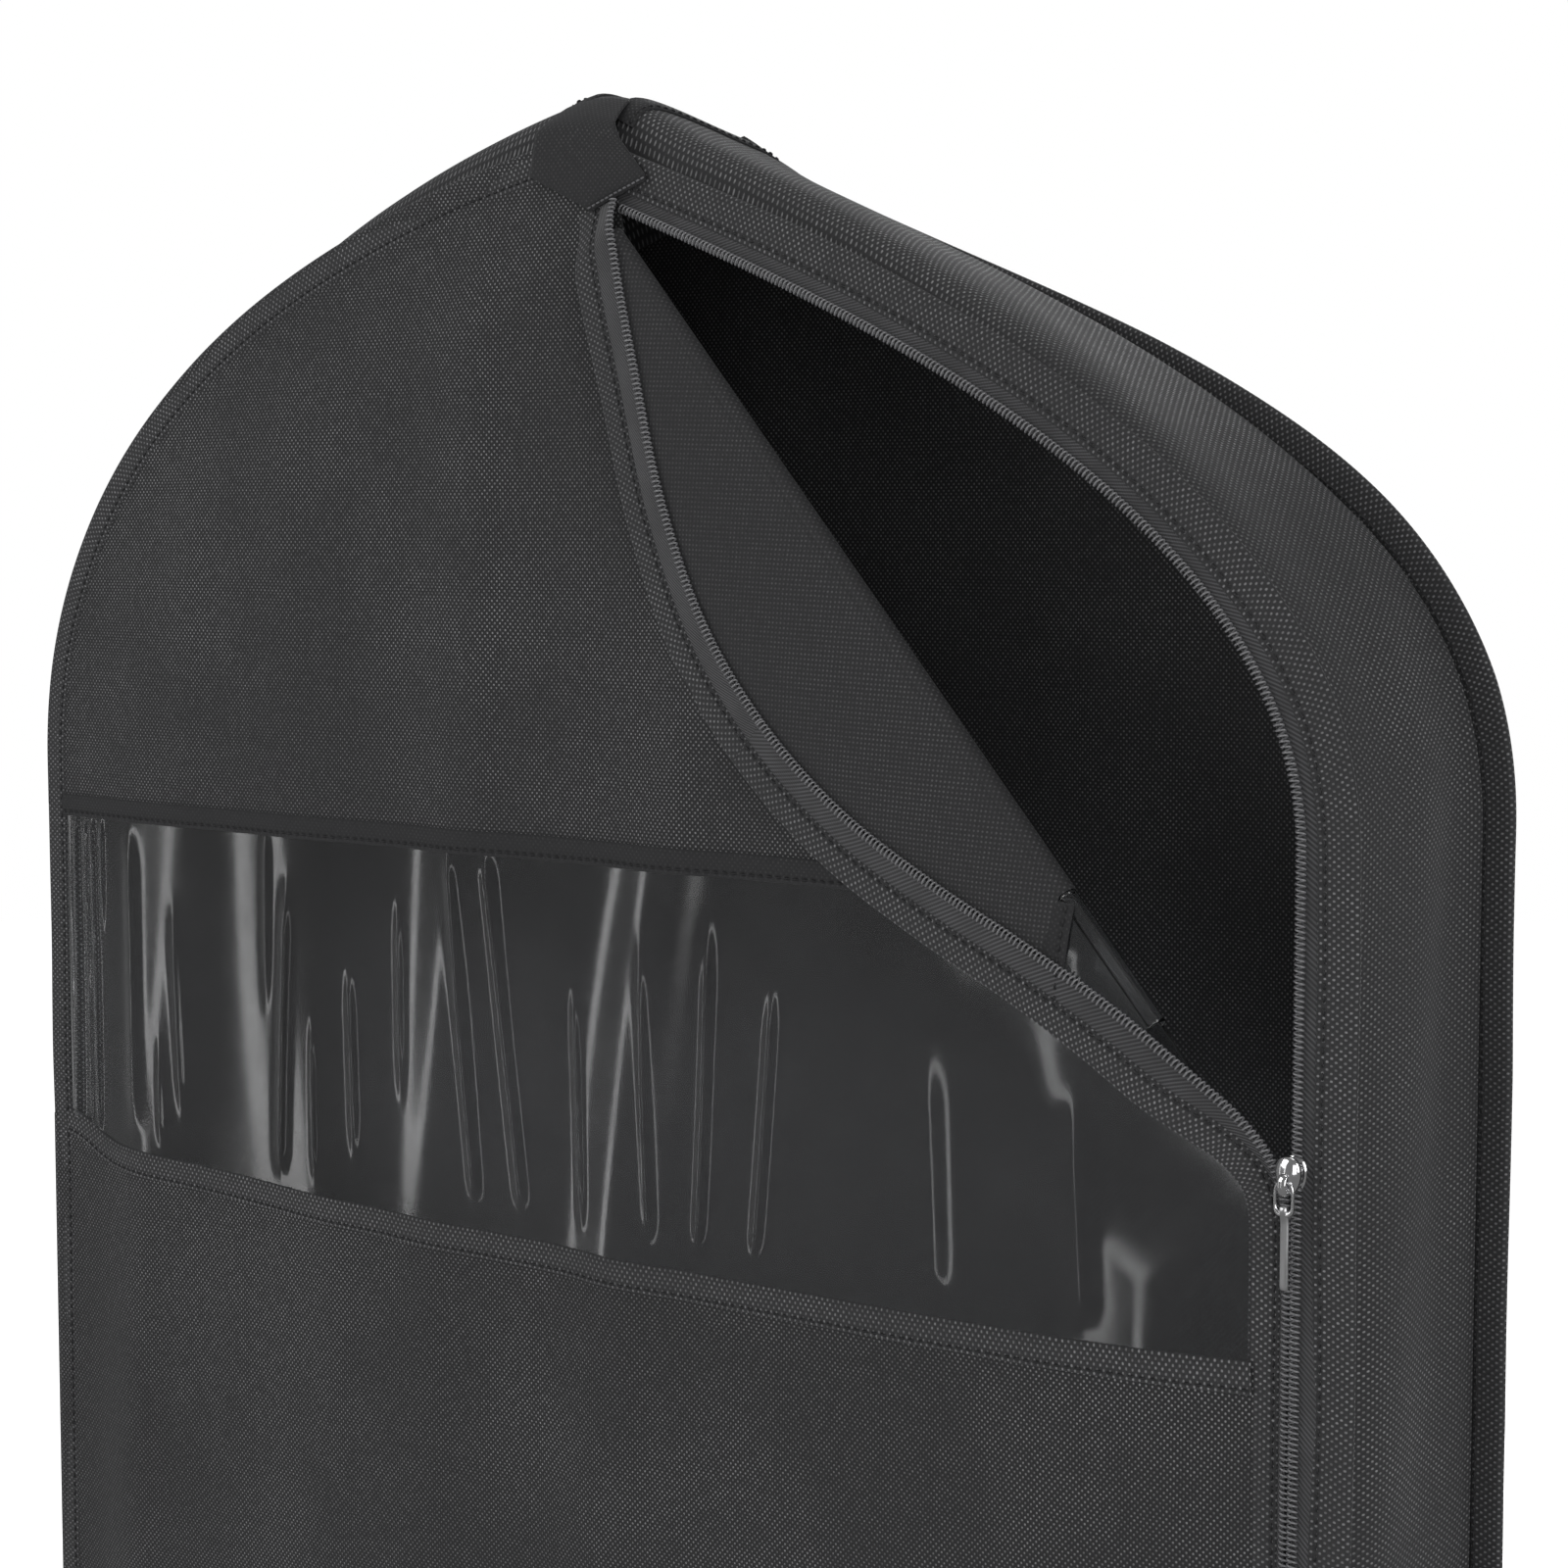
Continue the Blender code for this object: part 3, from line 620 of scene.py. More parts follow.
def front_y(x, z):
    return FRONT_Y - 0.4 * MM - front_relief(x, z)


# ---------------------------------------------------------------- front panels and window

def hung_panel(name, tops, bottoms, count, y_of, look, thickness=CLOTH, flip=True):
    """A stretched cloth in columns from tops to bottoms, both (x, z) rows of the same length."""
    share = np.linspace(0, 1, count)[:, None, None]
    flat = tops[None] * (1 - share) + bottoms[None] * share
    x, z = flat[..., 0], flat[..., 1]
    points = np.stack([x, y_of(x, z), z], axis=-1)
    panel = sheet_piece(name, points, flat, look, thickness, flip)
    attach(panel, "root")
    return panel


def bottom_edge(x):
    """The height of the panel's bottom edge, with its rounded corners."""
    radius = CORNER_RADIUS - PANEL_INSET
    over = np.clip((np.abs(x) - (HALF_WIDTH - CORNER_RADIUS)) / radius, 0, 1)
    return BOTTOM + CORNER_RADIUS - radius * np.sqrt(1 - over ** 2)


def hem_sag(x):
    """The window's lower hem sags in the middle and lifts at its left end."""
    sag = -6.5 * MM * (1 - np.clip(np.abs(x) / 0.28, 0, 1) ** 2)
    return WINDOW_BOTTOM + sag + 9 * MM * smooth((-0.245 - x) / 0.05) ** 2


def front_cloth():
    left = inset(FRONT_LEFT, PANEL_INSET, WINDOW_TOP, spacing=2.5 * MM)
    left = left[left[:, 1] > SHOULDER_END + 1 * MM][::-1]
    neck = inset(FRONT_RIGHT, PANEL_INSET, WINDOW_TOP, spacing=2.5 * MM)
    neck = neck[(neck[:, 0] > 0.5 * MM) & (neck[:, 0] < 14 * MM)]
    fold = on_fold(np.linspace(0, FOLD_END, 100), 0.0, 0.0)[:, [0, 2]]
    tops = np.concatenate([left, neck, fold])
    bottoms = tops.copy()
    bottoms[:, 1] = WINDOW_TOP
    upper = hung_panel(
        "front_upper_cloth", tops, bottoms, 90, front_y, "nonwoven",
    )
    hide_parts("front_upper_panel")

    x = np.linspace(-HALF_WIDTH + PANEL_INSET, PANEL_END, 200)
    tops = np.stack([x, hem_sag(x)], axis=1)
    bottoms = np.stack([x, bottom_edge(x)], axis=1)
    lower = hung_panel(
        "front_lower_cloth", tops, bottoms, 150, front_y, "nonwoven",
    )
    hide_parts("front_lower_panel")

    # The strip of cloth below the zip's bottom end
    x = np.linspace(PANEL_END, HALF_WIDTH - PANEL_INSET, 20)
    tops = np.stack([x, np.full(20, ZIP_END - 7 * MM)], axis=1)
    bottoms = np.stack([x, bottom_edge(x)], axis=1)
    hung_panel(
        "front_foot_cloth", tops, bottoms, 12, lambda a, b: np.full(a.shape, FRONT_Y),
        "nonwoven",
    )


FILM_CREASES = (
    # X at the top, X at the bottom, width and height in mm, where it starts and ends going down
    (-0.2900, -0.2885, 1.6, 1.7, 0.00, 1.00),
    (-0.2850, -0.2865, 1.8, 1.8, 0.00, 1.00),
    (-0.2790, -0.2765, 1.6, 1.6, 0.00, 1.00),
    (-0.2745, -0.2720, 1.8, 1.5, 0.00, 1.00),
    (-0.2680, -0.2690, 1.4, 0.9, 0.00, 0.32),
    (-0.2490, -0.2440, 4.5, 1.5, 0.08, 0.90),
    (-0.2290, -0.2280, 2.0, 0.8, 0.70, 1.00),
    (-0.2200, -0.2150, 3.0, 1.0, 0.30, 0.85),
    (-0.1640, -0.1660, 2.2, 0.9, 0.00, 0.45),
    (-0.1500, -0.1570, 3.0, 1.8, 0.20, 1.00),
    (-0.1375, -0.1370, 1.4, 1.0, 0.58, 0.97),
    (-0.1190, -0.1150, 2.6, 1.1, 0.38, 0.88),
    (-0.0930, -0.0900, 2.0, 1.1, 0.22, 0.65),
    (-0.0640, -0.0510, 3.0, 1.4, 0.00, 1.00),
    (-0.0460, -0.0290, 3.2, 1.4, 0.00, 1.00),
    (-0.0080, 0.0010, 1.8, 1.2, 0.40, 0.95),
    (0.0300, 0.0340, 2.4, 0.9, 0.25, 1.00),
    (0.0620, 0.0540, 2.6, 1.2, 0.20, 1.00),
    (0.0900, 0.0800, 2.6, 1.1, 0.30, 1.00),
    (0.1500, 0.1560, 6.0, 1.0, 0.40, 1.00),
    (0.2050, 0.2140, 4.5, 1.0, 0.50, 1.00),
)


def film_y(x, z):
    """The front's shape with the film's own sharper upright creases."""
    down = np.clip((WINDOW_TOP - z) / (WINDOW_TOP - WINDOW_BOTTOM), 0, 1)
    at_edges = smooth(down / 0.08) * smooth((1 - down) / 0.10)
    from_fold = distance_to(FOLD_LINE, np.stack([x.ravel(), z.ravel()], axis=1)).reshape(x.shape)
    room = at_edges * smooth(from_fold / 0.03)
    room = room * smooth((x + HALF_WIDTH - SEAM) / 0.006) * smooth((ZIP_X - 0.016 - x) / 0.02)
    crease = np.zeros(x.shape)
    for top, bottom, width, height, start, end in FILM_CREASES:
        centre = top + (bottom - top) * down + 0.5 * MM * np.sin(down * 4 + top * 70)
        apart = np.abs(x - centre) / (width * MM)
        along = smooth((down - start + 0.1) / 0.22) * smooth((end + 0.1 - down) / 0.22)
        crease += height * MM * along * np.exp(-apart ** 1.7)
    return front_y(x, z) - room * crease


def front_film():
    x = np.linspace(-HALF_WIDTH + 2 * MM, PANEL_END, 700)
    fold_z = FOLD_TOP.z + ALONG.z * (x - FOLD_TOP.x) / ALONG.x
    tops = np.stack([x, np.minimum(WINDOW_TOP, fold_z)], axis=1)
    bottoms = np.stack([x, hem_sag(x)], axis=1)
    film = hung_panel(
        "window_film", tops, bottoms, 60, film_y, "film", thickness=FILM,
    )
    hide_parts("clear_window")


def hem_band(name, middle_line, width, look, lift):
    """A sewn strip that lies on the front along a line of (x, z) points."""
    step = heading(middle_line)
    up = np.stack([-step[:, 1], step[:, 0]], axis=1)
    section = (
        (-0.5, -0.1), (-0.49, 0.55), (-0.46, 0.85), (-0.2, 1.0),
        (0.2, 1.0), (0.46, 0.85), (0.49, 0.55), (0.5, -0.1),
    )
    rows = []
    for place, height in section:
        line = middle_line + up * place * width
        rows.append(in_space(line, front_y(line[:, 0], line[:, 1]) - height * lift))
    uvs = flat_grid(lengths(middle_line), [place * width for place, _ in section])
    piece = add_grid(name, np.stack(rows, axis=1), uvs, look)
    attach(piece, "root")
    return piece


def hem_stitches(name, line, lift):
    depth = front_y(line[:, 0], line[:, 1]) - lift
    sewn = stitches(name, in_space(line, depth), facing(len(line)))
    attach(sewn, "root")


def window_hems():
    left = -HALF_WIDTH + SEAM - 1 * MM
    end = FOLD_TOP.x + ALONG.x * FOLD_END - 2.5 * MM
    x = np.linspace(left, end, 220)
    line = np.stack([x, np.full(len(x), WINDOW_TOP)], axis=1)
    top = hem_band("window_top_hem", line, 9 * MM, "plain_hem", 0.9 * MM)
    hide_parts("window_top_binding")
    hem_stitches("window_top_stitches", line - np.array([0.0, 2.6 * MM]), 0.95 * MM)

    x = np.linspace(left, ZIP_X - 13 * MM, 240)
    line = np.stack([x, hem_sag(x)], axis=1)
    bottom = hem_band("window_bottom_hem", line - np.array([0.0, 2 * MM]), 10.5 * MM, "hem", 1.1 * MM)
    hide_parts("window_bottom_binding")
    hem_stitches("window_bottom_stitches", line - np.array([0.0, 5.6 * MM]), 1.15 * MM)


# ---------------------------------------------------------------- folded corner

SEAM_LEAN = -ALONG.x / ALONG.z


def flap_seam(share):
    """Where the window's upper seam crosses the folded corner."""
    s = np.full(np.shape(share), FOLD_END)
    for _ in range(30):
        s = FOLD_END + SEAM_LEAN * share * np.maximum(flap_reach(s), 0)
    return s


def flap_grid(start, end, columns, wobble=0.0):
    """The folded corner between two lines across it: round the roll, then over the flat."""
    angles = np.linspace(0, math.pi, 13)
    shares = np.linspace(0, 1, 40)[1:]
    rows, flat = [], []
    across = np.linspace(0, 1, columns)
    for angle in angles:
        s = start(0.0) + (end(0.0) - start(0.0)) * across
        offset = -ROLL_RADIUS * math.sin(angle)
        rows.append(on_fold(s, offset, FOLD_Y + ROLL_RADIUS * math.cos(angle)))
        flat.append(np.stack([s, np.full(columns, ROLL_RADIUS * angle)], axis=1))
    for share in shares:
        s = start(share) + (end(share) - start(share)) * across
        reach = np.maximum(flap_reach(s), 0)
        # The cloth ends under the zip's facing strip, so that it clears the right coil when closed
        within = share * np.minimum(1, closed_room(s) / np.maximum(reach, 1 * MM))
        y = flap_y(within, s) - wobble * film_ripple(s, share)
        rows.append(on_fold(s, within * reach, y))
        flat.append(np.stack([s, ROLL_RADIUS * math.pi + within * reach], axis=1))
    return np.stack(rows), np.stack(flat), len(angles)


def closed_room(s):
    """How far out from the fold the closed corner may reach before it meets the right coil."""
    coil_line = inset(FRONT_RIGHT, ZIP_INSET - COIL_SIDE, ZIP_END, start_x=0.017)
    steps = np.linspace(0, 0.12, 241)
    places = on_fold(np.repeat(s, len(steps)), -np.tile(steps, len(s)), 0.0)[:, [0, 2]]
    clear = distance_to(coil_line, places).reshape(len(s), -1) > 3.2 * MM
    return np.where(clear.all(axis=1), steps[-1], steps[np.argmin(clear, axis=1)])


def film_ripple(s, share):
    fade = smooth(share / 0.15) * smooth((1 - share) / 0.2)
    return fade * (np.sin(s * 420 + share * 5) + 0.6 * np.sin(s * 260 - share * 9))


def folded_corner():
    parts = (
        # name, first and last line across the fold, columns, look, slot, thickness, node, wobble
        (
            "corner_cloth", lambda k: -0.004, flap_seam, 130,
            "inner", "nonwoven", CLOTH, "front_flap", 0.0,
        ),
        (
            "corner_film", flap_seam, lambda k: 0.330, 40,
            "film", "film", FILM, "flap_window", 0.15 * MM,
        ),
    )
    for name, start, end, columns, look, slot, thickness, node, wobble in parts:
        points, flat, turn = flap_grid(start, end, columns, wobble)
        roll = sheet_piece(name + "_roll", points[:turn], flat[:turn], look, thickness)
        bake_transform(roll)
        flat_part = sheet_piece(name, points[turn - 1:], flat[turn - 1:], look, thickness)
        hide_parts(node)
        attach(flat_part, "flap")

    share = np.linspace(-0.02, 0.75, 30)
    s = flap_seam(np.maximum(share, 0))
    line = on_fold(s + 2 * MM, np.maximum(share, 0.0) * flap_reach(s), 0.0)
    depth = flap_y(np.maximum(share, 0), s)
    line[:, 1] = depth
    out = facing(len(line))
    side = np.cross(heading(line), out)
    width = 4.6 * MM
    section = (
        (-width, 0.0), (-width * 0.95, 0.5 * MM), (0.0, 0.7 * MM), (width * 0.95, 0.5 * MM),
        (width, 0.0),
    )
    hem = swept("corner_window_hem", line, side, out, section, "plain_hem")
    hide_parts("flap_window_binding")
    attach(hem, "flap")
    sewn = stitches("corner_hem_stitches", line + out * 0.75 * MM - side * 2.2 * MM, out)
    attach(sewn, "flap")


# ---------------------------------------------------------------- zip

FRONT_COIL = FRONT_Y - 1.5 * MM
SPLIT_S = 0.165
ROOT_FROM = 0.365
FLAP_FROM = 0.325


def left_zip_line():
    """The middle of the left coil, from under the peak patch to the zip's bottom end."""
    s = np.linspace(OPEN_COIL[0][0], 0.372, 240)
    opened = on_fold(s, open_coil(s), 0.0)[:, [0, 2]]
    turn = np.array([[ZIP_X - COIL_SIDE - 0.2 * MM, -0.339], [ZIP_X - COIL_SIDE, -0.352]])
    below = np.array([[ZIP_X - COIL_SIDE, z] for z in np.linspace(-0.365, ZIP_END, 60)])
    line = respaced(np.concatenate([opened, turn, below]), 1.5 * MM)
    soft = line.copy()
    for _ in range(60):
        soft[1:-1] = (soft[:-2] + 2 * soft[1:-1] + soft[2:]) / 4
    near_turn = smooth((line[:, 0] - 0.24) / 0.02)[:, None]
    return respaced(line * (1 - near_turn) + soft * near_turn, 1.5 * MM)


def fold_place(line):
    """Distances down the fold and out from it."""
    apart = line - np.array([FOLD_TOP.x, FOLD_TOP.z])
    down = apart @ np.array([ALONG.x, ALONG.z])
    return down, apart @ np.array([OUTWARD.x, OUTWARD.z])


def left_surface_y(line):
    """The depth of what the left tape lies on: the folded corner, or the closed front."""
    down, out = fold_place(line)
    reach = np.maximum(flap_reach(down), 1 * MM)
    on_corner = flap_y(np.clip(out / reach, 0, 1), down) - 0.5 * MM
    open_part = smooth((down + 0.022) / 0.020) * smooth((0.395 - down) / 0.06)
    return on_corner * open_part + (FRONT_Y - 0.1 * MM) * (1 - open_part)


def split_line(line):
    down, _ = fold_place(line)
    cut = int(np.argmax(down > SPLIT_S))
    return (("top", slice(0, cut + 1)), ("low", slice(cut, len(line))))


def blend_left(piece, part):
    """Bakes the piece's placement into its mesh; the stretch of the fold worked out for each part is
    not used.
    """
    if part == "top":
        start, end = on_fold(-0.002, 0.0, FOLD_Y), on_fold(0.035, 0.0, FOLD_Y)
        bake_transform(piece)
    else:
        start, end = on_fold(FLAP_FROM, 0.0, FOLD_Y), on_fold(ROOT_FROM, 0.0, FOLD_Y)
        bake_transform(piece)


def left_band(name, centre, near, far, section, look, part, node):
    """A strip beside the left coil, between two distances from it."""
    side = -inward_left(centre)
    rows = []
    for share, lift in section:
        line = centre + side * (near + (far - near) * share)[:, None]
        rows.append(in_space(line, left_surface_y(line) - lift * MM))
    widths = np.mean(far - near) * np.array([share for share, _ in section])
    uvs = flat_grid(lengths(centre), widths)
    piece = add_grid(name, np.stack(rows, axis=1), uvs, look)
    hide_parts(node)
    blend_left(piece, part)


def inward_left(line):
    """Unit vectors across the left zip line, towards the opening."""
    step = heading(line)
    return np.stack([-step[:, 1], step[:, 0]], axis=1)


def left_zip():
    line = left_zip_line()
    down, _ = fold_place(line)
    closing = smooth((down - 0.335) / 0.06)
    near = (9.4 - 6.6 * closing) * MM
    far = near + (11.1 - 0.6 * closing) * MM
    tape_near = np.full(len(line), 0.3 * MM)
    # Shares of a strip's width, going out from the coil, and heights in mm
    facing_section = (
        (0.80, -0.35), (0.97, -0.35), (1.03, 0.1), (1.0, 0.6), (0.93, 0.85),
        (0.5, 1.0), (0.07, 0.9), (0.0, 0.65), (0.0, 0.2),
    )
    tape_section = ((0.0, 0.35), (0.12, 0.5), (0.5, 0.45), (1.0, 0.4))
    for part, piece in split_line(line):
        end = "upper" if part == "top" else "lower"
        centre, inner, outer = line[piece], near[piece], far[piece]
        left_band(
            "zip_facing_" + part, centre, inner, outer, facing_section,
            "hem", part, "zip_facing_" + end,
        )
        left_band(
            "zip_tape_left_" + part, centre, tape_near[piece], inner + 1.5 * MM, tape_section,
            "tape", part, "zip_tape_left_" + end,
        )
        depth = left_surface_y(centre) - 1.15 * MM
        wound = coil("zip_coil_left_" + part, in_space(centre, depth), facing(len(centre)))
        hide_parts("zip_coil_left_" + end)
        blend_left(wound, part)
        run = centre - inward_left(centre) * (inner + 1.6 * MM)[:, None]
        depth = left_surface_y(run) - 0.98 * MM
        sewn = stitches("zip_facing_stitches_" + part, in_space(run, depth), facing(len(run)))
        blend_left(sewn, part)


def right_zip():
    outer = inset(FRONT_RIGHT, 9.0 * MM, ZIP_END - 6 * MM, spacing=2 * MM, start_x=0.012)
    inner = inset(FRONT_RIGHT, ZIP_INSET - 0.4 * MM, ZIP_END - 6 * MM, spacing=2 * MM, start_x=0.012)
    count = max(len(outer), len(inner))
    outer = with_count(respaced(outer, 2 * MM), count)
    inner = with_count(inner, count)
    shares = np.array([0.0, 0.3, 0.6, 0.88, 1.0])
    lifts = (0.0, 0.15, 0.3, 0.3, 0.15)
    rows = []
    for share, lift in zip(shares, lifts):
        rows.append(in_space(outer * (1 - share) + inner * share, FRONT_Y - lift * MM))
    uvs = flat_grid(lengths(inner), shares * 11 * MM)
    points = np.stack(rows, axis=1)
    tape = sheet_piece("zip_tape_right_cloth", points, uvs, "tape", 0.6 * MM)
    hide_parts("zip_tape_right")
    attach(tape, "root")

    line = inset(FRONT_RIGHT, ZIP_INSET - COIL_SIDE, ZIP_END, spacing=1.5 * MM, start_x=0.017)
    wound = coil("zip_coil_right_wound", in_space(line, FRONT_COIL), facing(len(line)))
    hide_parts("zip_coil_right")
    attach(wound, "root")


# ---------------------------------------------------------------- seams and gussets

def wobbling(count, size, seed, reach=14):
    """A smooth random wander along a line, the same each time."""
    noise = np.random.default_rng(seed).standard_normal(count + 8 * reach)
    window = np.hanning(4 * reach)
    soft = np.convolve(noise, window / np.sqrt((window ** 2).sum()), mode="valid")
    return size * soft[:count]


def binding_section(width):
    """A strip folded over the seam: (inset, out) points from the outer face round to the inner."""
    return tuple((a * MM, b * MM) for a, b in (
        (width + 0.1, 0.9), (width, 1.3), (width - 0.9, 1.5), (6.0, 1.65), (2.5, 1.6), (1.0, 1.35),
        (0.25, 0.75), (0.0, 0.0), (0.25, -0.75), (1.0, -1.3), (2.5, -1.5), (9.6, -1.45),
        (10.5, -1.3), (10.6, -0.9),
    ))


def seam_bindings():
    runs = (
        # node, curve, panel's depth, way out, strip's width, stitches' inset, seed
        ("front_seam_binding_right", FRONT_RIGHT, FRONT_Y, -1.0, 13.4, 10.9, 11),
        ("front_seam_binding_left", FRONT_LEFT, FRONT_Y, -1.0, 12.2, 10.0, 12),
        ("back_seam_binding_right", BACK_RIGHT, BACK_Y, 1.0, 12.2, 9.3, 13),
        ("back_seam_binding_left", BACK_LEFT, BACK_Y, 1.0, 12.2, 9.3, 14),
    )
    for node, curve, panel_y, direction, width, sewn_at, seed in runs:
        flat = inset(curve, 0.15 * MM, spacing=2.5 * MM, start_x=0.003)
        sway = wobbling(len(flat), 0.35 * MM, seed)
        edge = flat + inward(flat) * np.abs(wobbling(len(flat), 0.25 * MM, seed + 20))[:, None]
        line = in_space(edge, panel_y - direction * 0.5 * MM + sway)
        across = in_space(inward(flat), 0.0)
        out = facing(len(flat), direction)
        piece = swept(node + "_cloth", line, across, out, binding_section(width), "hem")
        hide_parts(node)
        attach(piece, "root")
        for face, way, place in (("outer", 1.0, sewn_at), ("inner", -1.0, 9.3)):
            run = line + across * place * MM + out * way * 1.5 * MM
            sewn = stitches(f"{node}_stitches_{face}", run, out * way)
            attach(sewn, "root")


def gusset_grid(front_curve, back_curve, seed):
    front = inset(front_curve, GUSSET_INSET, spacing=3 * MM, start_x=SLOT_HALF_WIDTH)
    back = inset(back_curve, GUSSET_INSET, spacing=3 * MM, start_x=SLOT_HALF_WIDTH)
    count = max(len(front), len(back))
    front, back = with_count(front, count), with_count(back, count)
    fractions = np.sin(np.linspace(-math.pi / 2, math.pi / 2, 45))
    share = (fractions + 1) / 2
    flat = front[:, None] * (1 - share)[None, :, None] + back[:, None] * share[None, :, None]
    x, z = flat[..., 0], flat[..., 1]
    along = np.maximum(0, 1 - (x / CROWN_END) ** 2)
    height = CROWN - CROWN_DIP_RIGHT * smooth(x / 0.040)
    behind = 1 - CROWN_LOSS_BEHIND * smooth((fractions + 0.8) / 1.8)
    crown = height * along * (behind * (1 - np.abs(fractions) ** 9))[None]
    outward = -(inward(front) + inward(back)) / 2
    travel = lengths(front)[:, None]
    side_part = smooth((-z - 0.15) / 0.10)
    f = fractions[None]
    recess = -3.0 * MM * np.exp(-((f + 0.70) / 0.22) ** 2) * (0.75 + 0.35 * np.sin(travel * 13 + seed))
    belly = 1.6 * MM * np.exp(-((f + 0.05) / 0.45) ** 2) * (0.7 + 0.4 * np.sin(travel * 9 + 2 * seed))
    furrow = -1.6 * MM * np.exp(-((f - 0.62) / 0.3) ** 2) * (0.6 + 0.5 * np.sin(travel * 11 + 3 * seed))
    crease = 0.9 * MM * np.sin(f * 6 + travel * 15 + seed) * smooth((1 - np.abs(f)) / 0.2)
    push = (recess + belly + furrow) * side_part + crease * (0.35 + 0.5 * side_part)
    push = push * smooth((1 - np.abs(f)) / 0.12) * smooth(travel / 0.06)
    x = x + outward[:, None, 0] * push
    z = z + outward[:, None, 1] * push + crown
    y = np.broadcast_to(f * GUSSET_HALF, x.shape)
    points = np.stack([x, y, z], axis=-1)
    uvs = flat_grid(lengths(front), fractions * GUSSET_HALF)
    return points, uvs


def gussets():
    sides = (
        ("gusset_right", FRONT_RIGHT, BACK_RIGHT, 1.0, ("gusset_right", "gusset_bottom")),
        ("gusset_left", FRONT_LEFT, BACK_LEFT, 2.3, ("gusset_left",)),
    )
    for name, front_curve, back_curve, seed, nodes in sides:
        points, uvs = gusset_grid(front_curve, back_curve, seed)
        piece = sheet_piece(name + "_cloth", points, uvs, "gusset")
        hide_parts(*nodes)
        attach(piece, "root")


def back_y(x, z):
    """The back hangs nearly flat, with shallow upright waves."""
    points = np.stack([x.ravel(), z.ravel()], axis=1)
    seams = np.concatenate([inset(BACK_LEFT, SEAM), inset(BACK_RIGHT, SEAM)])
    room = smooth(distance_to(seams, points) / 0.06).reshape(x.shape)
    waves = 1.6 * MM * np.sin(x * 38 + 0.8 * np.sin(z * 9)) + 1.0 * MM * np.sin(x * 83 + z * 6)
    return BACK_Y + room * (1.8 * MM + waves)


def back_cloth():
    right = inset(BACK_RIGHT, PANEL_INSET, spacing=3 * MM, start_x=0.0005)
    left = inset(BACK_LEFT, PANEL_INSET, spacing=3 * MM, start_x=0.0005)
    right = right[right[:, 1] > SHOULDER_END + 1 * MM]
    left = left[left[:, 1] > SHOULDER_END + 1 * MM]
    tops = np.concatenate([left[::-1], right])
    bottoms = np.stack([tops[:, 0], bottom_edge(tops[:, 0])], axis=1)
    piece = hung_panel(
        "back_cloth", tops, bottoms, 170, back_y, "nonwoven", flip=False,
    )
    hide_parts("back_panel")


# ---------------------------------------------------------------- peak and hook opening

def corner_line(first, corner, last, a):
    """Points along two straight edges that meet at a corner, for shares from 0 to 1."""
    first, corner, last = (np.array(p) for p in (first, corner, last))
    low = first + (corner - first) * np.minimum(a * 2, 1)[:, None]
    return np.where(a[:, None] <= 0.5, low, corner + (last - corner) * (a * 2 - 1)[:, None])


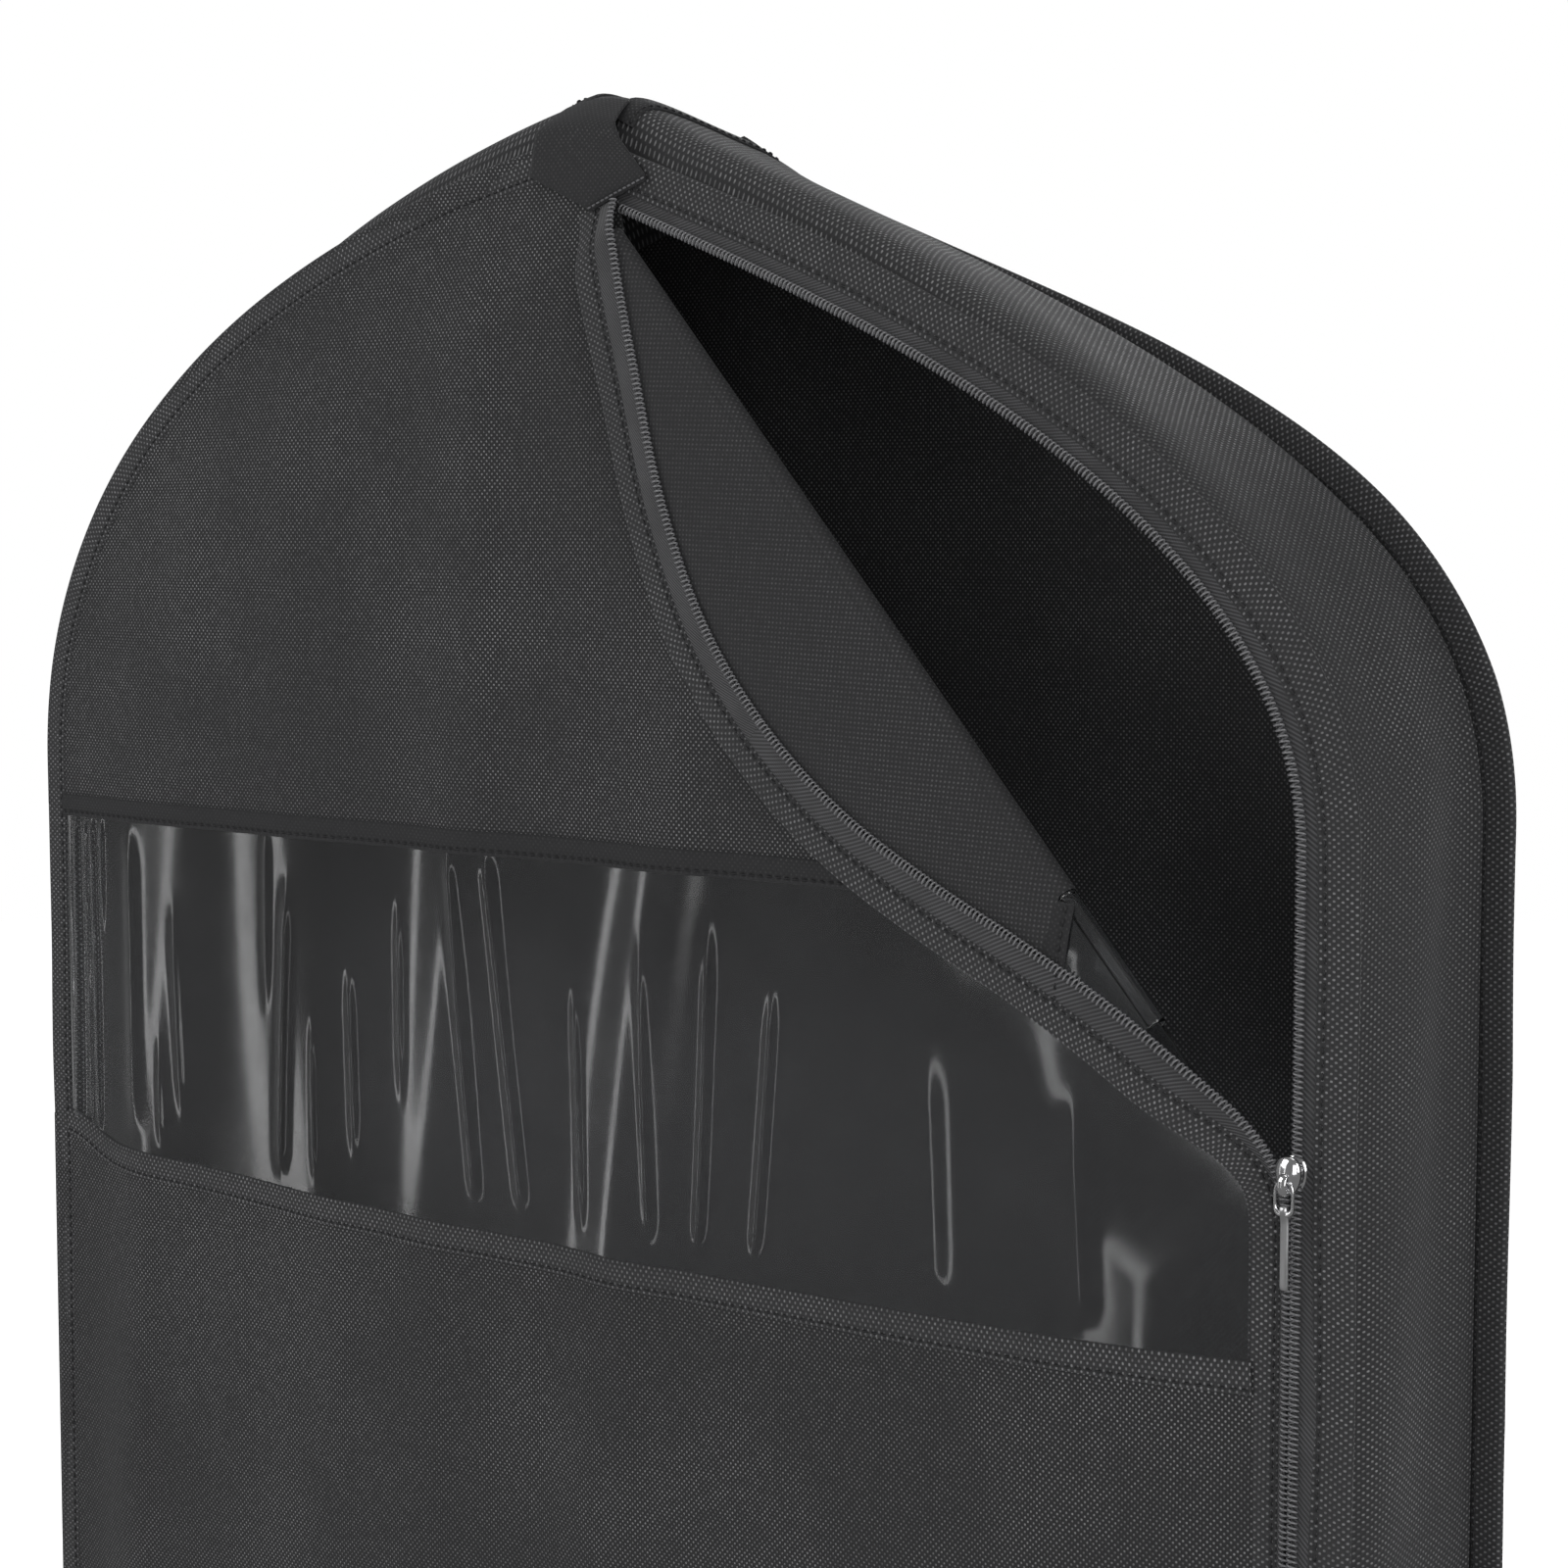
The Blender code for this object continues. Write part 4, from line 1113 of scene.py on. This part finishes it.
def peak_patches():
    """Square patches sewn over the peak, each folded over the ridge to the hook opening."""
    count = 31
    a = np.linspace(0, 1, count)
    front_over = (
        (52.8, -12.0), (52.6, -7.5), (51.0, -4.6), (47.5, -1.6), (43.0, 1.6), (38.5, 4.2),
        (35.0, 5.4),
    )
    back_over = (
        (52.8, -14.0), (52.5, -9.5), (51.0, -7.2), (48.0, -6.8), (43.0, -7.0), (39.0, -3.6),
        (35.5, -1.6),
    )
    patches = (
        # name, way out, left, lower and right corners, ridge's ends in X, path over the ridge,
        # and how steeply the shoulders fall under it to the left and to the right
        (
            "peak_patch_front", -1.0, (-0.0235, -0.0220), (0.0050, -0.0352), (0.0315, -0.0262),
            (-0.0185, 0.0085), front_over, (0.0, 0.0),
        ),
        (
            "peak_patch_back", 1.0, (-0.0240, -0.0240), (0.0000, -0.0360), (0.0240, -0.0290),
            (-0.0160, 0.0160), back_over, (0.26, 0.52),
        ),
    )
    for node, way, left, low, right, ridge, over, falls in patches:
        foot = corner_line(left, low, right, a)
        top_x = ridge[0] + (ridge[1] - ridge[0]) * a
        rows = []
        start = foot[:, 1]
        for step in range(12):
            share = step / 12
            x = foot[:, 0] + (top_x - foot[:, 0]) * 0.55 * share
            fall = falls[0] * np.maximum(-x, 0) + falls[1] * np.maximum(x, 0)
            z = start + (over[0][1] * MM - fall - start) * share
            bulge = 0.7 * MM * np.sin(math.pi * a) * math.sin(math.pi * share)
            rows.append(np.stack([x, way * (over[0][0] * MM + bulge), z], axis=1))
        for step, (depth, height) in enumerate(over):
            share = 0.55 + 0.45 * step / (len(over) - 1)
            x = foot[:, 0] + (top_x - foot[:, 0]) * share
            sides = 2.0 * MM * (2 * a - 1) ** 2 * min(step, 3) / 3
            sides = sides + falls[0] * np.maximum(-x, 0) + falls[1] * np.maximum(x, 0)
            rows.append(np.stack([x, np.full(count, way * depth * MM), height * MM - sides], axis=1))
        points = np.array(rows)
        flat = np.stack([points[..., 0], np.zeros(points.shape[:2])], axis=-1)
        flat[0, :, 1] = start
        flat[1:, :, 1] = start + np.cumsum(np.linalg.norm(np.diff(points, axis=0), axis=2), axis=0)
        piece = sheet_piece(node + "_cloth", points, flat, "plain_hem", 0.8 * MM)
        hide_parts(node)
        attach(piece, "root")
    edge = corner_line((0.0050, -0.0352), (0.0180, -0.0307), (0.0315, -0.0262), a)
    edge = respaced(in_space(edge, -53.1 * MM), 0.5 * MM)
    out = facing(len(edge))
    side = np.cross(heading(edge), out)
    angle = np.linspace(0, 2 * math.pi, 9)
    section = tuple((0.9 * MM * math.cos(k), 0.7 * MM * math.sin(k)) for k in angle)
    lip = swept("peak_patch_lip", edge, side, out, section, "plain_hem")
    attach(lip, "root")
    sewn = stitches(
        "peak_patch_stitches", edge + out * 0.75 * MM, out, "bright_thread",
        length=1.6 * MM, gap=0.5 * MM, width=0.35 * MM,
    )
    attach(sewn, "root")


def hook_slot_hems():
    for name, front_curve, back_curve in (
        ("hook_slot_hem_right", FRONT_RIGHT, BACK_RIGHT),
        ("hook_slot_hem_left", FRONT_LEFT, BACK_LEFT),
    ):
        points, _ = gusset_grid(front_curve, back_curve, 1.0)
        edge, inner = points[0], points[3]
        keep = np.abs(edge[:, 1]) < 43 * MM
        edge, inner = edge[keep], inner[keep]
        away = unit(inner - edge)
        out = np.cross(away, heading(edge))
        out *= np.sign(out[:, 2:3])
        section = tuple((p * MM, q * MM) for p, q in (
            (9.5, 0.5), (9.3, 1.0), (5.0, 1.3), (1.0, 1.25), (-0.2, 0.9), (-0.7, 0.0),
            (-0.2, -0.9), (1.0, -1.2), (9.0, -1.0),
        ))
        piece = swept(name + "_cloth", edge, away, out, section, "plain_hem")
        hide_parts(name)
        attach(piece, "root")
        fine = respaced(edge + away * 8.0 * MM + out * 1.15 * MM, 0.8 * MM)
        sewn = stitches(name + "_stitches", fine, with_count(out, len(fine)))
        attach(sewn, "root")


# ---------------------------------------------------------------- slider and pull

def loft(name, rings, look, closed_ends=True):
    """A closed skin through rings of points, all with the same count."""
    rings = np.array(rings)
    count, sides = rings.shape[:2]
    faces = grid_faces(count, sides, closed=True).tolist()
    if closed_ends:
        faces.append(list(range(sides))[::-1])
        faces.append([(count - 1) * sides + k for k in range(sides)])
    return add_piece(name, rings.reshape(-1, 3), faces, None, look)


def slider_ring(width, height, narrow, y, count=48):
    """The slider's outline: an oval, wider at the top, where the chain opens."""
    angle = np.linspace(0, 2 * math.pi, count, endpoint=False)
    x = squarer(np.cos(angle), 0.9)
    z = np.sin(angle)
    taper = 1 - narrow * (1 - z) / 2
    return np.stack([ZIP_X + width * x * taper, np.full(count, y), SLIDER_Z + height * z], axis=1)


def tube(name, line, radii, look, closed=False, sides=14):
    """A round bar along a line, whose thickness may change."""
    if closed:
        step = np.roll(line, -1, axis=0) - np.roll(line, 1, axis=0)
    else:
        step = np.gradient(line, axis=0)
    step = unit(step)
    normal = unit(np.cross(step, np.array([0.0, 1.0, 0.0])))
    other = np.cross(step, normal)
    angle = np.linspace(0, 2 * math.pi, sides, endpoint=False)
    radii = np.broadcast_to(radii, (len(line),))[:, None, None]
    rings = line[:, None] + radii * (
        normal[:, None] * np.cos(angle)[None, :, None] + other[:, None] * np.sin(angle)[None, :, None]
    )
    if closed:
        rings = np.concatenate([rings, rings[:1]])
    return loft(name, rings, look, closed_ends=not closed)


def slider():
    # The plates: one behind the tape, one in front, and the dome on that
    profile = ((4.2, 0.0), (4.75, 0.35), (4.95, 0.9), (4.95, 1.5), (4.7, 2.0), (4.1, 2.3))
    base = FRONT_Y + 1.2 * MM
    rings = [slider_ring(w * MM, w * 1.19 * MM, 0.20, base - d * MM) for w, d in profile]
    back = loft("slider_back_plate", rings, "chrome")
    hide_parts("slider_body")
    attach(back, "slider")
    top = FRONT_Y - 3.0 * MM
    profile = (
        (4.3, 0.0), (4.75, 0.3), (4.9, 0.75), (4.85, 1.2), (4.6, 1.65), (4.15, 2.1),
        (3.5, 2.55), (2.7, 2.95), (1.8, 3.25), (0.9, 3.42), (0.2, 3.47),
    )
    rings = [slider_ring(w * MM, w * 1.22 * MM, 0.24, top - d * MM) for w, d in profile]
    dome = loft("slider_dome", rings, "chrome")
    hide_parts("slider_cap")
    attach(dome, "slider")
    # The bridge that the link hangs in
    angle = np.linspace(0, math.pi, 25)
    centre = np.array([ZIP_X, LINK_PIVOT.y + 0.3 * MM, LINK_PIVOT.z])
    arch = [np.zeros(25), -1.9 * MM * np.sin(angle), 3.1 * MM * np.cos(angle)]
    line = centre + np.stack(arch, axis=1)
    side = np.broadcast_to(np.array([1.0, 0.0, 0.0]), line.shape)
    out = np.cross(side, heading(line))
    corners = np.linspace(0, 2 * math.pi, 17)[:-1]
    rings = [line + side * 1.5 * MM * math.cos(k) + out * 0.5 * MM * math.sin(k) for k in corners]
    rings = np.stack(rings, axis=1)
    bridge = loft("slider_bridge", rings, "chrome")
    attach(bridge, "slider")


def pull():
    # The link: a flat loop, thicker at its lower end
    angle = np.linspace(0, 2 * math.pi, 72, endpoint=False)
    square_x, square_z = squarer(np.cos(angle), 0.55), squarer(np.sin(angle), 0.55)
    low, high = TAB_PIVOT.z - 1.1 * MM, LINK_PIVOT.z + 0.7 * MM
    lean = np.interp(square_z, [-1, 1], [TAB_PIVOT.y, LINK_PIVOT.y])
    line = np.stack(
        [ZIP_X + 3.0 * MM * square_x, lean, (low + high) / 2 + (high - low) / 2 * square_z], axis=1
    )
    radii = 0.5 * MM + 0.35 * MM * smooth((-square_z - 0.5) / 0.5)
    link = tube("pull_loop", line, radii, "chrome", closed=True)
    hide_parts("pull_link")
    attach(link, "link")

    # The pull: an eye round the loop and a half-round bar
    sides = 20
    angle = np.linspace(0, 2 * math.pi, sides, endpoint=False)
    round_x, round_y = squarer(np.cos(angle), 0.75), squarer(np.sin(angle), 0.75)
    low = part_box("pull_tab")[0][2]
    stations = (
        # height, half width, half depth, how far behind the pivot
        (TAB_PIVOT.z + 1.35 * MM, 0.35, 0.30, 0.0), (TAB_PIVOT.z + 1.25 * MM, 0.9, 0.65, 0.0),
        (TAB_PIVOT.z + 0.8 * MM, 1.25, 1.05, 0.0), (TAB_PIVOT.z, 1.35, 1.25, 0.0),
        (TAB_PIVOT.z - 1.0 * MM, 1.38, 1.15, 0.1), (TAB_PIVOT.z - 2.6 * MM, 1.40, 0.75, 0.5),
        (TAB_PIVOT.z - 4.5 * MM, 1.40, 0.62, 0.6), (low + 1.6 * MM, 1.40, 0.60, 0.6),
        (low + 0.5 * MM, 1.32, 0.55, 0.6), (low + 0.1 * MM, 1.05, 0.42, 0.6), (low, 0.6, 0.25, 0.6),
    )
    rings = []
    for z, width, depth, back in stations:
        x, y = ZIP_X + width * MM * round_x, TAB_PIVOT.y + (back + depth * round_y) * MM
        rings.append(np.stack([x, y, np.full(sides, z)], axis=1))
    bar = loft("pull_bar", rings, "satin")
    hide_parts("pull_tab")
    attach(bar, "tab")


def bottom_stop():
    low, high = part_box("zip_bottom_stop")
    middle_x, middle_z = (low[0] + high[0]) / 2, (low[2] + high[2]) / 2
    half = (high[0] - low[0]) / 2
    angle = np.linspace(0, 2 * math.pi, 28, endpoint=False)
    round_x, round_z = squarer(np.cos(angle), 0.5), squarer(np.sin(angle), 0.5)
    rings = []
    for size, depth in ((0.86, 0.0), (1.0, 0.35), (1.0, 1.3), (0.92, 1.75), (0.7, 1.95), (0.3, 2.0)):
        rings.append(
            np.stack([
                middle_x + half * size * round_x,
                np.full(28, FRONT_Y - 0.6 * MM - depth * MM),
                middle_z + (high[2] - low[2]) / 2 * size * round_z,
            ], axis=1)
        )
    stop = loft("zip_stop", rings, "coil")
    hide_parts("zip_bottom_stop")
    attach(stop, "root")


# ---------------------------------------------------------------- stage, light and camera

def plain_look(name, colour, glow):
    look, tree, shader = nodes_of(name)
    set_sockets(shader, {
        "Base Color": (*colour, 1.0), "Roughness": 0.9,
        "Emission Color": (1.0, 1.0, 1.0, 1.0), "Emission Strength": glow,
    })
    return look


def stage():
    bpy.ops.mesh.primitive_circle_add(
        vertices=64, radius=7.0, fill_type="NGON", location=(0, 0, BOTTOM - 0.05)
    )
    floor = bpy.context.object
    floor.name = "floor"
    floor.data.materials.append(plain_look("floor_white", (0.86, 0.86, 0.86), glow=0.95))
    floor.visible_glossy = False
    floor.visible_transmission = False

    world = bpy.data.worlds.new("studio")
    world.use_nodes = True
    bpy.context.scene.world = world
    tree = world.node_tree
    air = tree.nodes["Background"]
    air.inputs["Color"].default_value = (1.0, 1.0, 1.0, 1.0)
    rays = tree.nodes.new("ShaderNodeLightPath")
    strength = math_node(tree, "MULTIPLY_ADD", rays.outputs["Is Camera Ray"], 0.82, 0.18)
    tree.links.new(strength, air.inputs["Strength"])

    lamps = (
        # name, place, aimed at, width, height, watts
        ("lamp_key", (-1.5, -2.0, 1.2), (0.0, 0.0, -0.35), 1.3, 1.6, 25),
        ("lamp_side", (2.3, -0.6, 0.5), (0.25, 0.0, -0.3), 1.0, 1.8, 20),
        ("lamp_top", (0.1, 0.2, 2.0), (0.0, 0.0, -0.2), 1.8, 1.2, 14),
        ("lamp_back", (-0.6, 2.4, 0.6), (0.0, 0.0, -0.4), 1.6, 1.6, 20),
        ("lamp_strip_near", (-0.83, -2.13, -0.3), (-0.1, 0.0, -0.35), 0.10, 1.7, 0.9),
        ("lamp_strip_far", (-1.91, -1.30, -0.3), (-0.1, 0.0, -0.35), 0.12, 1.7, 1.2),
        ("lamp_front", (1.6, -1.9, 0.2), (0.1, 0.0, -0.3), 1.2, 1.6, 12),
    )
    for name, place, target, width, height, watts in lamps:
        lamp = bpy.data.lights.new(name, "AREA")
        lamp.shape = "RECTANGLE"
        lamp.size, lamp.size_y = width, height
        lamp.energy = watts
        holder = bpy.data.objects.new(name, lamp)
        bpy.context.collection.objects.link(holder)
        holder.location = place
        holder.rotation_euler = (Vector(target) - Vector(place)).to_track_quat("-Z", "Y").to_euler()


def camera():
    data = bpy.data.cameras.new("camera")
    data.lens = 70.69
    data.sensor_width = 36.0
    data.clip_start = 0.02
    holder = bpy.data.objects.new("camera", data)
    bpy.context.collection.objects.link(holder)
    holder.location = (0.7366, -0.8387, -0.1457)
    holder.rotation_euler = (math.radians(90 - 4.684), 0.0, math.radians(39.375))
    bpy.context.scene.camera = holder
    bpy.context.scene.view_settings.view_transform = "Standard"


front_cloth()
front_film()
window_hems()
folded_corner()
left_zip()
right_zip()
seam_bindings()
gussets()
back_cloth()
peak_patches()
hook_slot_hems()
slider()
pull()
bottom_stop()
stage()
camera()
